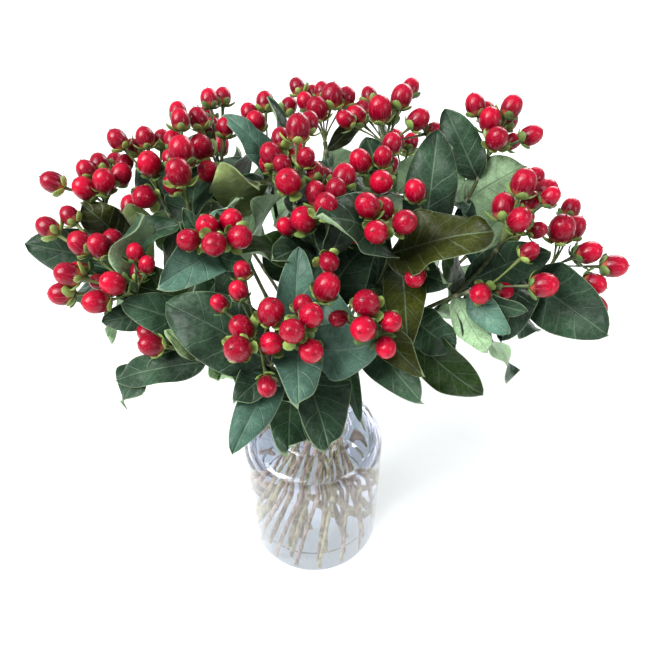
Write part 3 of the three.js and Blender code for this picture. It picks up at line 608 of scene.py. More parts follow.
def clear(tree, surface, tint):
    """A clear surface that lets light on in straight lines, so that what stands behind it is lit."""
    path = put(tree, "ShaderNodeLightPath").outputs
    straight = maths(tree, "MAXIMUM", path["Is Shadow Ray"], path["Is Diffuse Ray"])
    through = put(tree, "ShaderNodeBsdfTransparent", {"Color": linear(tint)})
    return put(tree, "ShaderNodeMixShader", {0: straight, 1: surface, 2: through.outputs[0]}).outputs[0]


def soda_lime_glass():
    """Soda-lime glass, blown in a mould: clear and polished, with a slight ripple from the mould. It
    bends light less than real glass, so that its shoulder stays clear. Its gloss is a coat with the index
    of real glass."""
    material, tree, output = new_material("soda_lime_glass_blown")
    ripple = noise(tree, object_place(tree), 40 * MM, 0.0)
    glass = principled(tree, linear("#f1f3fe"), 0.0, IOR=1.1, Transmission_Weight=1.0, Coat_Weight=0.8,
                       Coat_IOR=1.5, Coat_Roughness=0.0, Normal=bumped(tree, ripple, 0.1, 0.4))
    tree.links.new(clear(tree, glass, "#f5f6fa"), output)
    return material


def still_water():
    """Water standing in the vase: clear and still."""
    material, tree, output = new_material("still_water")
    water = principled(tree, linear("#d0d4cf"), 0.0, IOR=1.333, Transmission_Weight=1.0)
    tree.links.new(clear(tree, water, "#fcfefc"), output)
    return material


def stem_bark(young, old):
    """Hypericum stem: a thin waxy bark, green near the leaves, tan and pink lower down, pale at the
    joints, with streaks 2 mm wide and 17 mm long over patches of 14 mm."""
    material, tree, output = new_material("hypericum_stem_bark")
    place = object_place(tree)
    long_way = put(tree, "ShaderNodeMapping", {"Vector": place, "Scale": (1, 1, 0.12)}).outputs[0]
    streak = noise(tree, long_way, 2 * MM, 3.0)
    patch = maths(tree, "ADD", noise(tree, place, 14 * MM), kept(tree, "tone"))
    lower = blend(tree, ranged(tree, patch, 0.85, 1.15), linear(old), linear("#b79d8a"))
    colour = blend(tree, ranged(tree, axes(tree, place)["Z"], 0.14, 0.24), lower, linear(young))
    colour = dimmed(tree, colour, ranged(tree, streak, 0.38, 0.62, 0.4, 1.2))
    knot = ranged(tree, kept(tree, "joint"), 0.45, 1.0, 0.0, 0.5)
    colour = blend(tree, knot, colour, linear("#ddd5b4"))
    tree.links.new(principled(tree, colour, 0.5, Normal=bumped(tree, streak, 0.5, 0.3)), output)
    return material


def leaf_skin(vein_colour, rim_colour):
    """Hypericum leaf: a waxy satin skin over a net of veins, dark above and pale below, with a thin
    pale margin; the colour kept on each blade holds painted shade towards its base."""
    material, tree, output = new_material("hypericum_leaf_skin")
    blade = kept(tree, "blade", "Vector")
    spot = axes(tree, blade)
    line = axes(tree, kept(tree, "veins", "Vector"))

    # The midrib, about 1 mm wide, and side veins that leave it every few millimetres.
    rib = ranged(tree, maths(tree, "ABSOLUTE", spot["Y"]), 0.15, 0.7, 1.0, 0.0)
    swayed = maths(tree, "MULTIPLY_ADD", noise(tree, blade, 9.0), 0.5, line["X"])
    off_side = maths(tree, "MULTIPLY", maths(tree, "PINGPONG", swayed, 1.0), line["Z"])
    strong = maths(tree, "MAXIMUM", rib, ranged(tree, off_side, 0.05, 0.55, 0.6, 0.0))
    # The finer net, in meshes about 3 mm across.
    crooked = noise(tree, blade, 3.0, output="Color")
    wandering = put(tree, "ShaderNodeVectorMath", {0: crooked, 1: (2.4, 2.4, 0), 2: blade},
                    operation="MULTIPLY_ADD")
    net = put(tree, "ShaderNodeTexVoronoi", {"Vector": wandering.outputs[0], "Scale": 1 / 3.2},
              feature="DISTANCE_TO_EDGE", voronoi_dimensions="2D")
    vein = maths(tree, "MAXIMUM", strong, ranged(tree, net.outputs["Distance"], 0.0, 0.14, 0.22, 0.0))

    # Cloudy patches of wax about 14 mm across, puckers of 6 mm, and a grain of 1 mm.
    place = object_place(tree)
    cloud = noise(tree, place, 14 * MM, 3.0)
    pucker = noise(tree, place, 6 * MM, 1.0)
    speck = noise(tree, place, 1 * MM)
    light = maths(tree, "MULTIPLY", ranged(tree, cloud, 0.3, 0.7, 0.55, 1.45),
                  ranged(tree, speck, 0.3, 0.7, 0.8, 1.2))
    # The blade's colour already holds its painted shade towards the base.
    colour = dimmed(tree, kept(tree, "blade_colour", "Color"), light)
    veined = maths(tree, "MULTIPLY", vein, ranged(tree, cloud, 0.35, 0.65, 0.12, 0.4))
    colour = blend(tree, veined, colour, blend(tree, line["Y"], linear(vein_colour), linear("#33502e")))
    colour = blend(tree, ranged(tree, spot["Z"], 0.1, 0.45, 0.55, 0.0), colour, linear(rim_colour))
    height = maths(tree, "SUBTRACT", maths(tree, "MULTIPLY", pucker, 3.0), strong)
    leaf = principled(tree, colour, ranged(tree, speck, 0.3, 0.7, 0.34, 0.5), Specular_IOR_Level=0.18,
                      Normal=bumped(tree, height, 0.8, 0.4))
    tree.links.new(leaf, output)
    return material


def berry_skin(deep, bright):
    """Hypericum berry: a tight glossy skin, crimson, with painted shade that makes it deeper towards the
    base, fine pale streaks, a paler ring at the base and a dark tip."""
    material, tree, output = new_material("hypericum_berry_skin")
    place = kept(tree, "berry_place", "Vector")
    height = axes(tree, place)["Z"]
    stretched = put(tree, "ShaderNodeMapping", {"Vector": place, "Scale": (20, 20, 1.2)})
    shift = put(tree, "ShaderNodeVectorMath", {
        0: stretched.outputs[0], 1: kept(tree, "tone", "Vector")}, operation="ADD")
    streak = noise(tree, shift.outputs[0], 1.0, 3.0)
    patch = maths(tree, "ADD", noise(tree, place, 1 / 2.2), kept(tree, "tone"))
    # Random ripeness, times painted shade that darkens each berry towards its base by the stalk.
    ripeness_and_shade = maths(tree, "MULTIPLY", ranged(tree, patch, 0.5, 1.4, 0.35, 1.0),
                 ranged(tree, height, 0.3, 0.95, 0.1, 1.0))
    colour = blend(tree, ripeness_and_shade, linear(deep), linear(bright))
    for value, low, high, start, end, over in (
            (streak, 0.55, 0.66, 0.0, 0.36, "#d84c68"), (height, 0.05, 0.32, 0.8, 0.0, "#d87a5c"),
            (height, 1.165, 1.19, 0.0, 0.8, "#4a1410")):
        colour = blend(tree, ranged(tree, value, low, high, start, end), colour, linear(over))
    skin = principled(tree, colour, 0.34, Specular_IOR_Level=0.1, Coat_Weight=0.36, Coat_Roughness=0.07,
                      Normal=bumped(tree, streak, 0.4, 0.35))
    tree.links.new(skin, output)
    return material


def fresh_skin(name, colour, deeper):
    """Sepals and stalks: soft fresh green tissue, in cloudy patches of 5 mm."""
    material, tree, output = new_material(name)
    patch = maths(tree, "ADD", noise(tree, object_place(tree), 5 * MM), kept(tree, "tone"))
    green = blend(tree, ranged(tree, patch, 0.5, 1.4), linear(colour), linear(deeper))
    tree.links.new(principled(tree, green, 0.45), output)
    return material


def dry_style():
    """The dried styles at a berry's tip: brown and matt, in flecks of 1 mm."""
    material, tree, output = new_material("dried_style")
    brown = blend(tree, noise(tree, object_place(tree), 1 * MM), linear("#2c1410"), linear("#6b3a22"))
    tree.links.new(principled(tree, brown, 0.7), output)
    return material


def painted_board():
    """Matt white painted board, in faint clouds of 60 mm."""
    material, tree, output = new_material("matt_white_board")
    white = blend(tree, noise(tree, object_place(tree), 60 * MM), linear("#ffffff"), linear("#f5f5f3"))
    tree.links.new(principled(tree, white, 0.9, Specular_IOR_Level=0.1), output)
    return material


# ---- Vase and water ------------------------------------------------------------------------------------

WET = 0.12  # how far the water stands into the glass
CLIMB = 0.6  # how far the water climbs the glass, and the distance over which it falls back
CLIMB_REACH = 1.2
CLIMB_STEPS, CLIMB_END = (0.6, 1.3, 2.4), 5  # in from the glass
SHOULDER_STEPS = 8
LIP = 2


def rounded(corners, steps=10):
    """A profile through corners given as (radius, height, rounding)."""
    points = []
    for i, (radius, height, rounding) in enumerate(corners):
        here = Vector((radius, height))
        if rounding == 0:
            points.append(here)
            continue
        back = (Vector(corners[i - 1][:2]) - here).normalized()
        on = (Vector(corners[i + 1][:2]) - here).normalized()
        half = back.angle(on) / 2
        run = rounding / math.tan(half)
        centre = here + (back + on).normalized() * rounding / math.sin(half)
        start, end = here + back * run - centre, here + on * run - centre
        turn = start.angle_signed(end)
        for k in range(steps + 1):
            a = -turn * k / steps
            points.append(centre + Vector((start.x * math.cos(a) - start.y * math.sin(a),
                                           start.x * math.sin(a) + start.y * math.cos(a))))
    return points


def turned(profile, sides, dent=lambda angle: 1):
    """The points and faces of a closed form turned about the upright axis. The profile runs from the axis
    back to the axis, as radius and height."""
    points = [(0, 0, profile[0][1])]
    for radius, height in profile[1:-1]:
        for k in range(sides):
            a = 2 * math.pi * k / sides
            reach = radius * dent(a)
            points.append((reach * math.cos(a), reach * math.sin(a), height))
    points.append((0, 0, profile[-1][1]))
    last = len(points) - 1
    faces = []
    for k in range(sides):
        on = (k + 1) % sides
        faces.append((0, 1 + on, 1 + k))
        faces.append((last, last - sides + k, last - sides + on))
        for a in range(1, last - sides, sides):
            faces.append((a + k, a + on, a + on + sides, a + k + sides))
    return points, faces


def vase_profile():
    inner = BODY_RADIUS - WALL
    neck = NECK_RADIUS - WALL
    rounding = SHOULDER_TOP - SHOULDER_START
    return rounded([
        (0, 0, 0),
        (BODY_RADIUS, 0, 5),
        (BODY_RADIUS, SHOULDER_TOP, rounding),
        (NECK_RADIUS, SHOULDER_TOP + 2.6, 5),
        (NECK_RADIUS, VASE_HEIGHT - 4.5, 3),
        (NECK_RADIUS + LIP, VASE_HEIGHT - 2.4, 1.2),
        (NECK_RADIUS + LIP, VASE_HEIGHT, 1.1),
        (neck, VASE_HEIGHT, 1.6),
        (neck, SHOULDER_TOP - 0.4, 6),
        (inner, SHOULDER_TOP - WALL, rounding - WALL),
        (inner, HEEL + 2, 2),
        (inner - HEEL_STEP, HEEL - 2, 2),
        (inner - HEEL_STEP, FLOOR, 4),
        (0, FLOOR + 0.6, 0),
    ])


def water_profile():
    """The water fills the vase to its level, a hair into the glass so that no air shows between them."""
    inner = BODY_RADIUS - WALL + WET
    rounding = SHOULDER_TOP - SHOULDER_START - WALL + WET
    centre = BODY_RADIUS - WALL - rounding + WET
    start = math.asin((WATER_TOP + CLIMB - SHOULDER_START) / rounding)
    points = rounded([(0, FLOOR + 0.5, 0), (inner - HEEL_STEP, FLOOR - WET, 4),
                      (inner - HEEL_STEP, HEEL - 2, 2), (inner, HEEL + 2, 2), (inner, SHOULDER_START, 0)])
    for k in range(1, SHOULDER_STEPS + 1):
        a = start * k / SHOULDER_STEPS
        points.append(Vector((centre + rounding * math.cos(a), SHOULDER_START + rounding * math.sin(a))))
    edge = points[-1].x
    points += [Vector((edge - back, WATER_TOP + CLIMB * math.exp(-back / CLIMB_REACH)))
               for back in CLIMB_STEPS]
    return points + [Vector((edge - CLIMB_END, WATER_TOP)), Vector((0, WATER_TOP))]


# ---- Geometry Nodes trees ------------------------------------------------------------------------------

def new_tree(name, sockets):
    """An empty Geometry Nodes tree with named inputs, its input node and its output node."""
    tree = bpy.data.node_groups.new(name, "GeometryNodeTree")
    tree.interface.new_socket("Geometry", in_out="INPUT", socket_type="NodeSocketGeometry")
    for label, kind in sockets:
        tree.interface.new_socket(label, in_out="INPUT", socket_type=kind)
    tree.interface.new_socket("Geometry", in_out="OUTPUT", socket_type="NodeSocketGeometry")
    return tree, put(tree, "NodeGroupInput"), put(tree, "NodeGroupOutput")


def named(tree, name, kind):
    """A value kept on each point by store."""
    return put(tree, "GeometryNodeInputNamedAttribute", {"Name": name}, data_type=kind).outputs[0]


def dressed(tree, geometry, material):
    """Real geometry in one material."""
    real = put(tree, "GeometryNodeRealizeInstances", {"Geometry": geometry})
    return put(tree, "GeometryNodeSetMaterial", {
        "Geometry": real.outputs[0], "Material": material}).outputs[0]


def swept(tree, routes, sides, material):
    """Tubes along routes, as thick as the routes say, in one material."""
    curve = put(tree, "GeometryNodeMeshToCurve", {"Mesh": routes})
    ring = put(tree, "GeometryNodeCurvePrimitiveCircle", {"Resolution": sides, "Radius": 1.0})
    tube = put(tree, "GeometryNodeCurveToMesh", {
        "Curve": curve.outputs[0], "Profile Curve": ring.outputs[0],
        "Scale": named(tree, "thickness", "FLOAT"), "Fill Caps": True})
    smooth = put(tree, "GeometryNodeSetShadeSmooth", {"Geometry": tube.outputs[0]})
    return dressed(tree, smooth.outputs[0], material)


def stem_tree():
    tree, start, end = new_tree("Stem along its route", [
        ("Sides", "NodeSocketInt"), ("Bark", "NodeSocketMaterial")])
    given = start.outputs
    tree.links.new(swept(tree, given["Geometry"], given["Sides"], given["Bark"]), end.inputs[0])
    return tree


def head_tree():
    """Stalks along their routes, and on the end of each a berry with its sepals and styles."""
    shapes = (("Berry", "Berry skin"), ("Sepals", "Sepal skin"), ("Styles", "Style skin"))
    tree, start, end = new_tree("Berries on their stalks", [
        ("Sides", "NodeSocketInt"), ("Stalk skin", "NodeSocketMaterial"),
        *((label, kind) for row in shapes
          for label, kind in zip(row, ("NodeSocketObject", "NodeSocketMaterial")))])
    given = start.outputs
    pointed = put(tree, "FunctionNodeAlignRotationToVector", {
        "Factor": 1.0, "Vector": named(tree, "aim", "FLOAT_VECTOR")}, axis="Z")
    about = put(tree, "FunctionNodeAxisAngleToRotation", {
        "Axis": (0, 0, 1), "Angle": named(tree, "spin", "FLOAT")})
    turn = put(tree, "FunctionNodeRotateRotation", {
        "Rotation": pointed.outputs[0], "Rotate By": about.outputs[0]}, rotation_space="LOCAL")
    is_end, size = named(tree, "is_end", "BOOLEAN"), named(tree, "size", "FLOAT")
    parts = [swept(tree, given["Geometry"], given["Sides"], given["Stalk skin"])]
    for shape, skin in shapes:
        info = put(tree, "GeometryNodeObjectInfo", {"Object": given[shape]})
        placed = put(tree, "GeometryNodeInstanceOnPoints", {
            "Points": given["Geometry"], "Selection": is_end, "Instance": info.outputs["Geometry"],
            "Rotation": turn.outputs[0], "Scale": size})
        parts.append(dressed(tree, placed.outputs[0], given[skin]))
    together = put(tree, "GeometryNodeJoinGeometry")
    for part in reversed(parts):
        tree.links.new(part, together.inputs[0])
    tree.links.new(together.outputs[0], end.inputs[0])
    return tree


def route_object(name, routes):
    """Polylines with, at each point, the named values that the trees read."""
    points = [row["point"] for route in routes for row in route]
    edges = []
    first = 0
    for route in routes:
        edges += [(first + k, first + k + 1) for k in range(len(route) - 1)]
        first += len(route)
    piece = mesh_object(name, points, [], edges=edges)
    rows = [row for route in routes for row in route]
    for key, kind in (("thickness", "FLOAT"), ("is_end", "BOOLEAN"), ("aim", "FLOAT_VECTOR"),
                      ("size", "FLOAT"), ("spin", "FLOAT"), ("tone", "FLOAT"), ("joint", "FLOAT")):
        if key in rows[0]:
            store(piece.data, key, kind, [row[key] for row in rows])
    return piece


# ---- Stems ---------------------------------------------------------------------------------------------

STRAIGHT_STEPS, BOW_STEPS, NECK_STEPS = 60, 36, 3
FIRST_BARE_GAP = 24  # from the lowest leaf to the first bare joint below it
BARE_GAPS = (16, 27)
FOOT_CLEAR = 10
JOINT_REACH = 1.8
FORK_REACH = 2.5
FORK_SWELL = 0.4


def smooth_route(head):
    """Points close together along a stem, from its foot to its fork, and each one's way from the foot."""
    points = [head.foot.lerp(head.rim, k / STRAIGHT_STEPS) for k in range(STRAIGHT_STEPS)]
    points += [bezier(head.controls, k / BOW_STEPS) for k in range(BOW_STEPS + 1)]
    points += [head.neck.lerp(head.fork, k / NECK_STEPS) for k in range(1, NECK_STEPS + 1)]
    runs = [0]
    for a, b in zip(points, points[1:]):
        runs.append(runs[-1] + (b - a).length)
    return points, runs


def stem_route_rows(head, swell, seed):
    """The stem's thickness swells at each joint, where leaves grow or have grown."""
    chance = random.Random(seed)
    points, runs = smooth_route(head)
    total = runs[-1]
    joints = [total - HEAD_LENGTH - leaf.below for leaf in head.leaves]
    place = min(joints, default=total) - FIRST_BARE_GAP
    while place > FOOT_CLEAR:
        joints.append(place)
        place -= chance.uniform(*BARE_GAPS)
    tone = chance.random()
    rows = []
    for point, run in zip(points, runs):
        radius = STEM_ROUND * stem_radius(run, total)
        near = max(math.exp(-((run - joint) / JOINT_REACH) ** 2) for joint in joints) if joints else 0
        fork = math.exp(-((total - run) / FORK_REACH) ** 2)
        rows.append({"point": point, "thickness": (radius * (1 + swell * near) + FORK_SWELL * fork) * MM,
                     "tone": tone, "joint": near})
    return rows


# ---- Leaves --------------------------------------------------------------------------------------------

LEAF_ROWS = 26
LEAF_COLUMNS = (-1, -0.93, -0.78, -0.56, -0.34, -0.14, 0, 0.14, 0.34, 0.56, 0.78, 0.93, 1)
SIDE_VEINS = 6
TONES = {"d": "#263b2a", "b": "#446254", "o": "#2b2f07", "g": "#20360e", "p": "#7c9064"}  # upper faces
UNDERSIDES = {"d": "#8fac86", "b": "#9cba98", "o": "#8c9c62", "g": "#84a37a", "p": "#a6b68a"}
BLADE_WIDENING = 1.1  # how much wider a blade is than its solid
BASE_WIDTH, TIP_WIDTH = 1.0, 0.12  # the least half width of a blade towards its base and towards its tip
WAVE_START, WAVE_LENGTH = 0.42, 0.63  # in parts of a blade's length
CRIMP, CRIMP_TURNS = 0.02, 25
DROOP_START = 0.7
VEIN_SLANT = 0.2
INNER_SKIN, MARGIN_SKIN = 0.5, 0.22  # parts of a blade's thickness on each side of its middle
INNER_MARGIN = 0.05
# Painted light on the blades: each face is painted darker towards its base, where the leaves sit in the
# shade of the bunch, and lighter towards its tip.
UNDER_PAINTED_LIGHT, UNDER_PAINTED_LIGHT_RISE = 0.85, 0.25
UPPER_PAINTED_LIGHT, UPPER_PAINTED_LIGHT_RISE, UPPER_PAINTED_LIGHT_RATE = 0.45, 0.75, 1.6  # painted shade: darker at the base, where the leaves sit in the shade of the bunch
JOIN_REACH = 6
RIB_KEEL, RIB_GROOVE = 0.45, 0.25  # how far the midrib stands out below, and is sunk above
BLADE_CHANCES = {  # how blades differ: the range of each value, in the order of the draws
    "phase": (0, 2 * math.pi), "ripple": (0.09, 0.18), "turns": (7, 13), "curl": (-0.2, 0.16),
    "droop": (-0.02, 0.09), "sweep": (-0.05, 0.05), "shade": (0.72, 1.28),
}


def blade_width(u):
    """The part of a leaf's width at u along it: round at the base, bluntly pointed at the tip."""
    v = min(max(u, 0), 1) ** 0.8
    return BLADE_WIDENING * max(1 - (2 * v - 1) ** 2, 0) ** (0.72 if v < 0.5 else 0.62)


def blade_lift(leaf, way, half, u, v):
    """How far a blade stands off its plane at u along it and v across it: by its fold on the midrib, the
    wave that the solid has too, the ripple and curl of its sides, and a fine crimp at its margin."""
    return (BLADE_FOLD * half * abs(v) ** 1.25
            + BLADE_WAVE * leaf.width * v * math.cos(2 * math.pi * (u - WAVE_START) / WAVE_LENGTH)
            + way.ripple * leaf.width * abs(v) ** 3
            * math.sin(way.phase + way.turns * u + (2 if v > 0 else 0))
            + way.curl * half * v ** 4
            + CRIMP * leaf.width * v ** 6 * math.sin(way.phase * 3 + CRIMP_TURNS * u + 2 * v))


def skin_faces(first, rows, columns):
    """The faces of a closed skin: an upper sheet of points in rows, a lower one, and their edges."""
    sheet = rows * columns
    faces = []
    for left in range(first, first + sheet - columns, columns):
        right = left + columns - 1
        for a in range(left, right):
            b = a + columns
            faces.append((a, b, b + 1, a + 1))
            faces.append((a + sheet, a + 1 + sheet, b + 1 + sheet, b + sheet))
        faces.append((left, left + sheet, left + columns + sheet, left + columns))
        faces.append((right, right + columns, right + columns + sheet, right + sheet))
    for low in range(first, first + columns - 1):
        high = low + sheet - columns
        faces.append((low, low + 1, low + 1 + sheet, low + sheet))
        faces.append((high, high + sheet, high + 1 + sheet, high + 1))
    return faces


def leaf_mesh(name, leaves, thickness, relief, seed, material):
    """The blades of one stem: each a closed thin skin, folded on its midrib, waved, and raised between
    its side veins."""
    chance = random.Random(seed)
    points, faces, blades, vein_rows, colours = [], [], [], [], []
    for leaf in leaves:
        length = leaf.chord.length
        along = leaf.chord / length
        way = SimpleNamespace(**{key: chance.uniform(*span) for key, span in BLADE_CHANCES.items()})
        faces += skin_faces(len(points), LEAF_ROWS + 1, len(LEAF_COLUMNS))
        for under in (0, 1):
            colour = linear((UNDERSIDES if under else TONES)[leaf.tone])[:3]
            for i in range(LEAF_ROWS + 1):
                u = i / LEAF_ROWS
                up = Quaternion(along, math.radians(leaf.twist) * u) @ leaf.face
                side = up.cross(along)
                half = max(leaf.width / 2 * blade_width(u), BASE_WIDTH if u < 0.5 else TIP_WIDTH)
                spine = (leaf.base + leaf.chord * u + leaf.face * 4 * leaf.arch * length * u * (1 - u)
                         + leaf.joint * (1 - u) ** 3
                         - leaf.face * way.droop * length * max(u - DROOP_START, 0) * 3)
                # Painted shade: each face darker towards the blade's base, lighter towards its tip.
                light = (UNDER_PAINTED_LIGHT + UNDER_PAINTED_LIGHT_RISE * u if under
                         else UPPER_PAINTED_LIGHT + UPPER_PAINTED_LIGHT_RISE * min(u * UPPER_PAINTED_LIGHT_RATE, 1))
                for v in LEAF_COLUMNS:
                    across = v * half + way.sweep * length * math.sin(math.pi * u) * (1 - 0.4 * u)
                    vein = SIDE_VEINS * (u - VEIN_SLANT * abs(v) ** 0.9)
                    quilt = math.sin(math.pi * vein) ** 2 * min(abs(v) * 3, 1) * (1 - abs(v) ** 4)
                    skin = thickness * (INNER_SKIN if abs(v) < 1 else MARGIN_SKIN)
                    if under:
                        skin = -skin - (RIB_KEEL if v == 0 else 0)
                    elif v == 0:
                        skin -= RIB_GROOVE
                    lift = blade_lift(leaf, way, half, u, v) + relief * quilt
                    points.append(spine + side * across + up * (lift + skin))
                    blades.append((u * length, v * half, (1 - abs(v)) * half + INNER_MARGIN))
                    vein_rows.append((vein * 2, under, length / SIDE_VEINS / 2))
                    colours.append([c * way.shade * light for c in colour] + [1])
    piece = mesh_object(name, points, faces, [material])
    # The way along the blade, across it and in from its margin; the count of half gaps between side
    # veins, whether this is the underside, and the length of half a gap; the blade's colour with its
    # painted shade.
    for key, kind, values in (("blade", "FLOAT_VECTOR", blades), ("veins", "FLOAT_VECTOR", vein_rows),
                              ("blade_colour", "FLOAT_COLOR", colours)):
        store(piece.data, key, kind, values)
    return piece


def join_to_stem(head):
    """The small step from where a leaf's solid starts to the middle of the smooth stem."""
    route = smooth_route(head)[0]
    for leaf in head.leaves:
        middle = below(head.points, leaf.below)
        near = min(route, key=lambda point: (point - middle).length)
        leaf.joint = (near - leaf.base) if (near - middle).length < JOIN_REACH else Vector()


# ---- Berries -------------------------------------------------------------------------------------------

BERRY_SIDES = 20
# Radius and height, for a berry one across.
BERRY_CURVE = [(0, 0.02), (0.22, 0.02), (0.38, 0.1), (0.48, 0.26), (0.52, 0.5), (0.5, 0.74),
               (0.41, 0.95), (0.27, 1.09), (0.12, 1.16), (0, 1.18)]
SEAMS = 3
SEAM_DEPTH = 0.025
SEPAL_SIZES = (1.0, 0.82, 1.1, 0.9, 0.76)
SEPAL_SPINE = [(0.12, -0.03, 0.06), (0.34, -0.02, 0.2), (0.54, 0.09, 0.25), (0.68, 0.22, 0.16),
               (0.72, 0.31, 0.04)]  # out from the berry's axis, height and half width
SEPAL_CUP = 0.06
SEPAL_THICKNESS = 0.035
STYLES = 3
STYLE_SIDES = 4
STYLE_RINGS = ((0.0, 1.15, 0.028), (0.015, 1.19, 0.02), (0.04, 1.22, 0.012))  # out, height and radius
STALK_STEPS = 8
STALK_THINNING = 0.35
STALK_FLARE = 0.3


def berry_shape():
    """An egg-shaped berry, one millimetre across, base at the origin, with shallow seams."""
    points, faces = turned(BERRY_CURVE, BERRY_SIDES,
                           lambda angle: 1 - SEAM_DEPTH * max(math.cos(SEAMS * angle), 0) ** 4)
    shape = mesh_object("berry_pattern", points, faces)
    store(shape.data, "berry_place", "FLOAT_VECTOR", points)
    return shape


def spokes(count):
    """The outward and the sideways direction of each spoke round the upright axis."""
    for k in range(count):
        a = 2 * math.pi * k / count
        yield Vector((math.cos(a), math.sin(a), 0)), Vector((-math.sin(a), math.cos(a), 0))


def sepal_shape():
    """A ring of spoon-shaped sepals that spread from under a berry one millimetre across."""
    points, faces = [], []
    for size, (out, side) in zip(SEPAL_SIZES, spokes(len(SEPAL_SIZES))):
        faces += skin_faces(len(points), len(SEPAL_SPINE), 3)
        for under in (0, 1):
            for reach, height, half in SEPAL_SPINE:
                for v in (-1, 0, 1):
                    points.append(out * reach * size + side * v * half * size
                                  + UP * (height * size + SEPAL_CUP * v * v - SEPAL_THICKNESS * under))
    return mesh_object("sepal_pattern", points, faces)


def style_shape():
    """Short dried styles at the tip of a berry one millimetre across."""
    points, faces = [], []
    for out, side in spokes(STYLES):
        first = len(points)
        for reach, height, radius in STYLE_RINGS:
            for j in range(STYLE_SIDES):
                b = 2 * math.pi * j / STYLE_SIDES
                points.append(out * (reach + radius * math.cos(b)) + side * radius * math.sin(b)
                              + UP * height)
        for ring in range(first, len(points) - STYLE_SIDES, STYLE_SIDES):
            for j in range(STYLE_SIDES):
                a, on = ring + j, ring + (j + 1) % STYLE_SIDES
                faces.append((a, on, on + STYLE_SIDES, a + STYLE_SIDES))
        faces.append(tuple(reversed(range(first, first + STYLE_SIDES))))
        faces.append(tuple(range(len(points) - STYLE_SIDES, len(points))))
    return mesh_object("style_pattern", points, faces)


def stalk_routes(head, seed):
    """Each stalk leaves the fork along the head's own aim and turns to point its berry outwards."""
    chance = random.Random(seed)
    routes = []
    for berry in head.berries:
        aim = (berry.centre - head.fork).normalized()
        base = berry.centre - aim * berry.diameter * BERRY_LENGTH / 2
        span = (base - head.fork).length
        controls = (head.fork, head.fork + (head.aim + aim).normalized() * span * HOLD_START,
                    base - aim * span * HOLD_END, base)
        tone, spin = chance.random(), chance.uniform(0, 2 * math.pi)
        rows = []
        for k in range(STALK_STEPS + 1):
            t = k / STALK_STEPS
            radius = (STALK_RADIUS - STALK_THINNING * math.sin(math.pi * min(t * 1.1, 1))
                      + STALK_FLARE * t ** 6)
            rows.append({"point": bezier(controls, t), "tone": tone, "spin": spin, "aim": tuple(aim),
                         "is_end": k == STALK_STEPS, "size": berry.diameter, "thickness": radius * MM})
        routes.append(rows)
    return routes


# ---- The add-on ----------------------------------------------------------------------------------------

def colour_property(name, description, default):
    return FloatVectorProperty(name=name, description=description, subtype="COLOR_GAMMA", size=3,
                               default=default, min=0, max=1)


def length_property(name, description, default, least):
    """A small length, given in millimetres and kept in metres."""
    return FloatProperty(name=name, description=description, default=default * MM, min=least * MM,
                         max=2 * MM, unit="LENGTH", precision=5)


class VaseSettings(bpy.types.PropertyGroup):
    sides: IntProperty(name="Sides", description="Faces round the vase", default=96, min=24, max=256)


class StemSettings(bpy.types.PropertyGroup):
    sides: IntProperty(name="Sides", description="Faces round a stem", default=10, min=5, max=32)
    joint_swell: FloatProperty(
        name="Joint swell", description="How much thicker a stem is at its joints", default=0.35,
        min=0, max=1, subtype="FACTOR")
    young_bark: colour_property("Young bark", "Bark near the leaves", (0.26, 0.3, 0.15))
    old_bark: colour_property("Old bark", "Bark in the water", (0.76, 0.71, 0.54))


class LeafSettings(bpy.types.PropertyGroup):
    thickness: length_property("Thickness", "Thickness of a blade", 0.55, 0.1)
    relief: length_property("Relief", "How far a blade rises between its side veins", 0.45, 0)
    vein: colour_property("Vein", "Colour of the veins on the upper face", (0.52, 0.62, 0.5))
    rim: colour_property("Rim", "Colour of the thin margin", (0.58, 0.66, 0.5))


class BerrySettings(bpy.types.PropertyGroup):
    stalk_sides: IntProperty(
        name="Stalk sides", description="Faces round a stalk", default=7, min=4, max=16)
    deep: colour_property("Deep red", "The darkest berries", (0.36, 0.0, 0.085))
    bright: colour_property("Bright red", "The brightest berries", (0.74, 0.0, 0.17))
    sepal: colour_property("Sepal", "Colour of the sepals", (0.6, 0.7, 0.36))
    stalk: colour_property("Stalk", "Colour of the stalks", (0.46, 0.52, 0.27))


class StageSettings(bpy.types.PropertyGroup):
    floor_size: FloatProperty(
        name="Floor", description="Width of the floor", default=12.0, min=1, unit="LENGTH")
    daylight: FloatProperty(
        name="Daylight", description="Strength of the light all round", default=0.42, min=0)
    sky: FloatProperty(name="Sky", description="Strength of the broad light above", default=2.4, min=0)
    window: FloatProperty(
        name="Window", description="Power of the window on the left", default=12.0, min=0, unit="POWER")


def hex_of(colour):
    """A colour setting as sRGB hex."""
    return "#" + "".join(f"{round(c * 255):02x}" for c in colour)


class BUNCH_OT_vase(bpy.types.Operator):
    """Make the glass vase and the water in it"""

    bl_idname = "bunch.vase"
    bl_label = "Vase and water"

    def execute(self, context):
        sides = context.scene.bunch_vase.sides
        vase = mesh_object("glass_vase", *turned(vase_profile(), sides), [soda_lime_glass()])
        finished(vase, "clear_glass", "vase")
        water = mesh_object("vase_water", *turned(water_profile(), sides), [still_water()])
        finished(water, "still_water", "water")
        return {"FINISHED"}


class BUNCH_OT_stems(bpy.types.Operator):
    """Make the stems, each a tube along its route that swells at its joints"""

    bl_idname = "bunch.stems"
    bl_label = "Stems"

    def execute(self, context):
        settings = context.scene.bunch_stems
        bark = stem_bark(hex_of(settings.young_bark), hex_of(settings.old_bark))
        tree = stem_tree()
        for i, head in enumerate(HEADS):
            rows = stem_route_rows(head, settings.joint_swell, STEM_SEED + i)
            stem = route_object(f"stem_{head.number}", [rows])
            settled(stem, tree, {"Sides": settings.sides, "Bark": bark})
            finished(stem, "leaf_and_stem", f"leafy_stem_{head.number}")
        return {"FINISHED"}


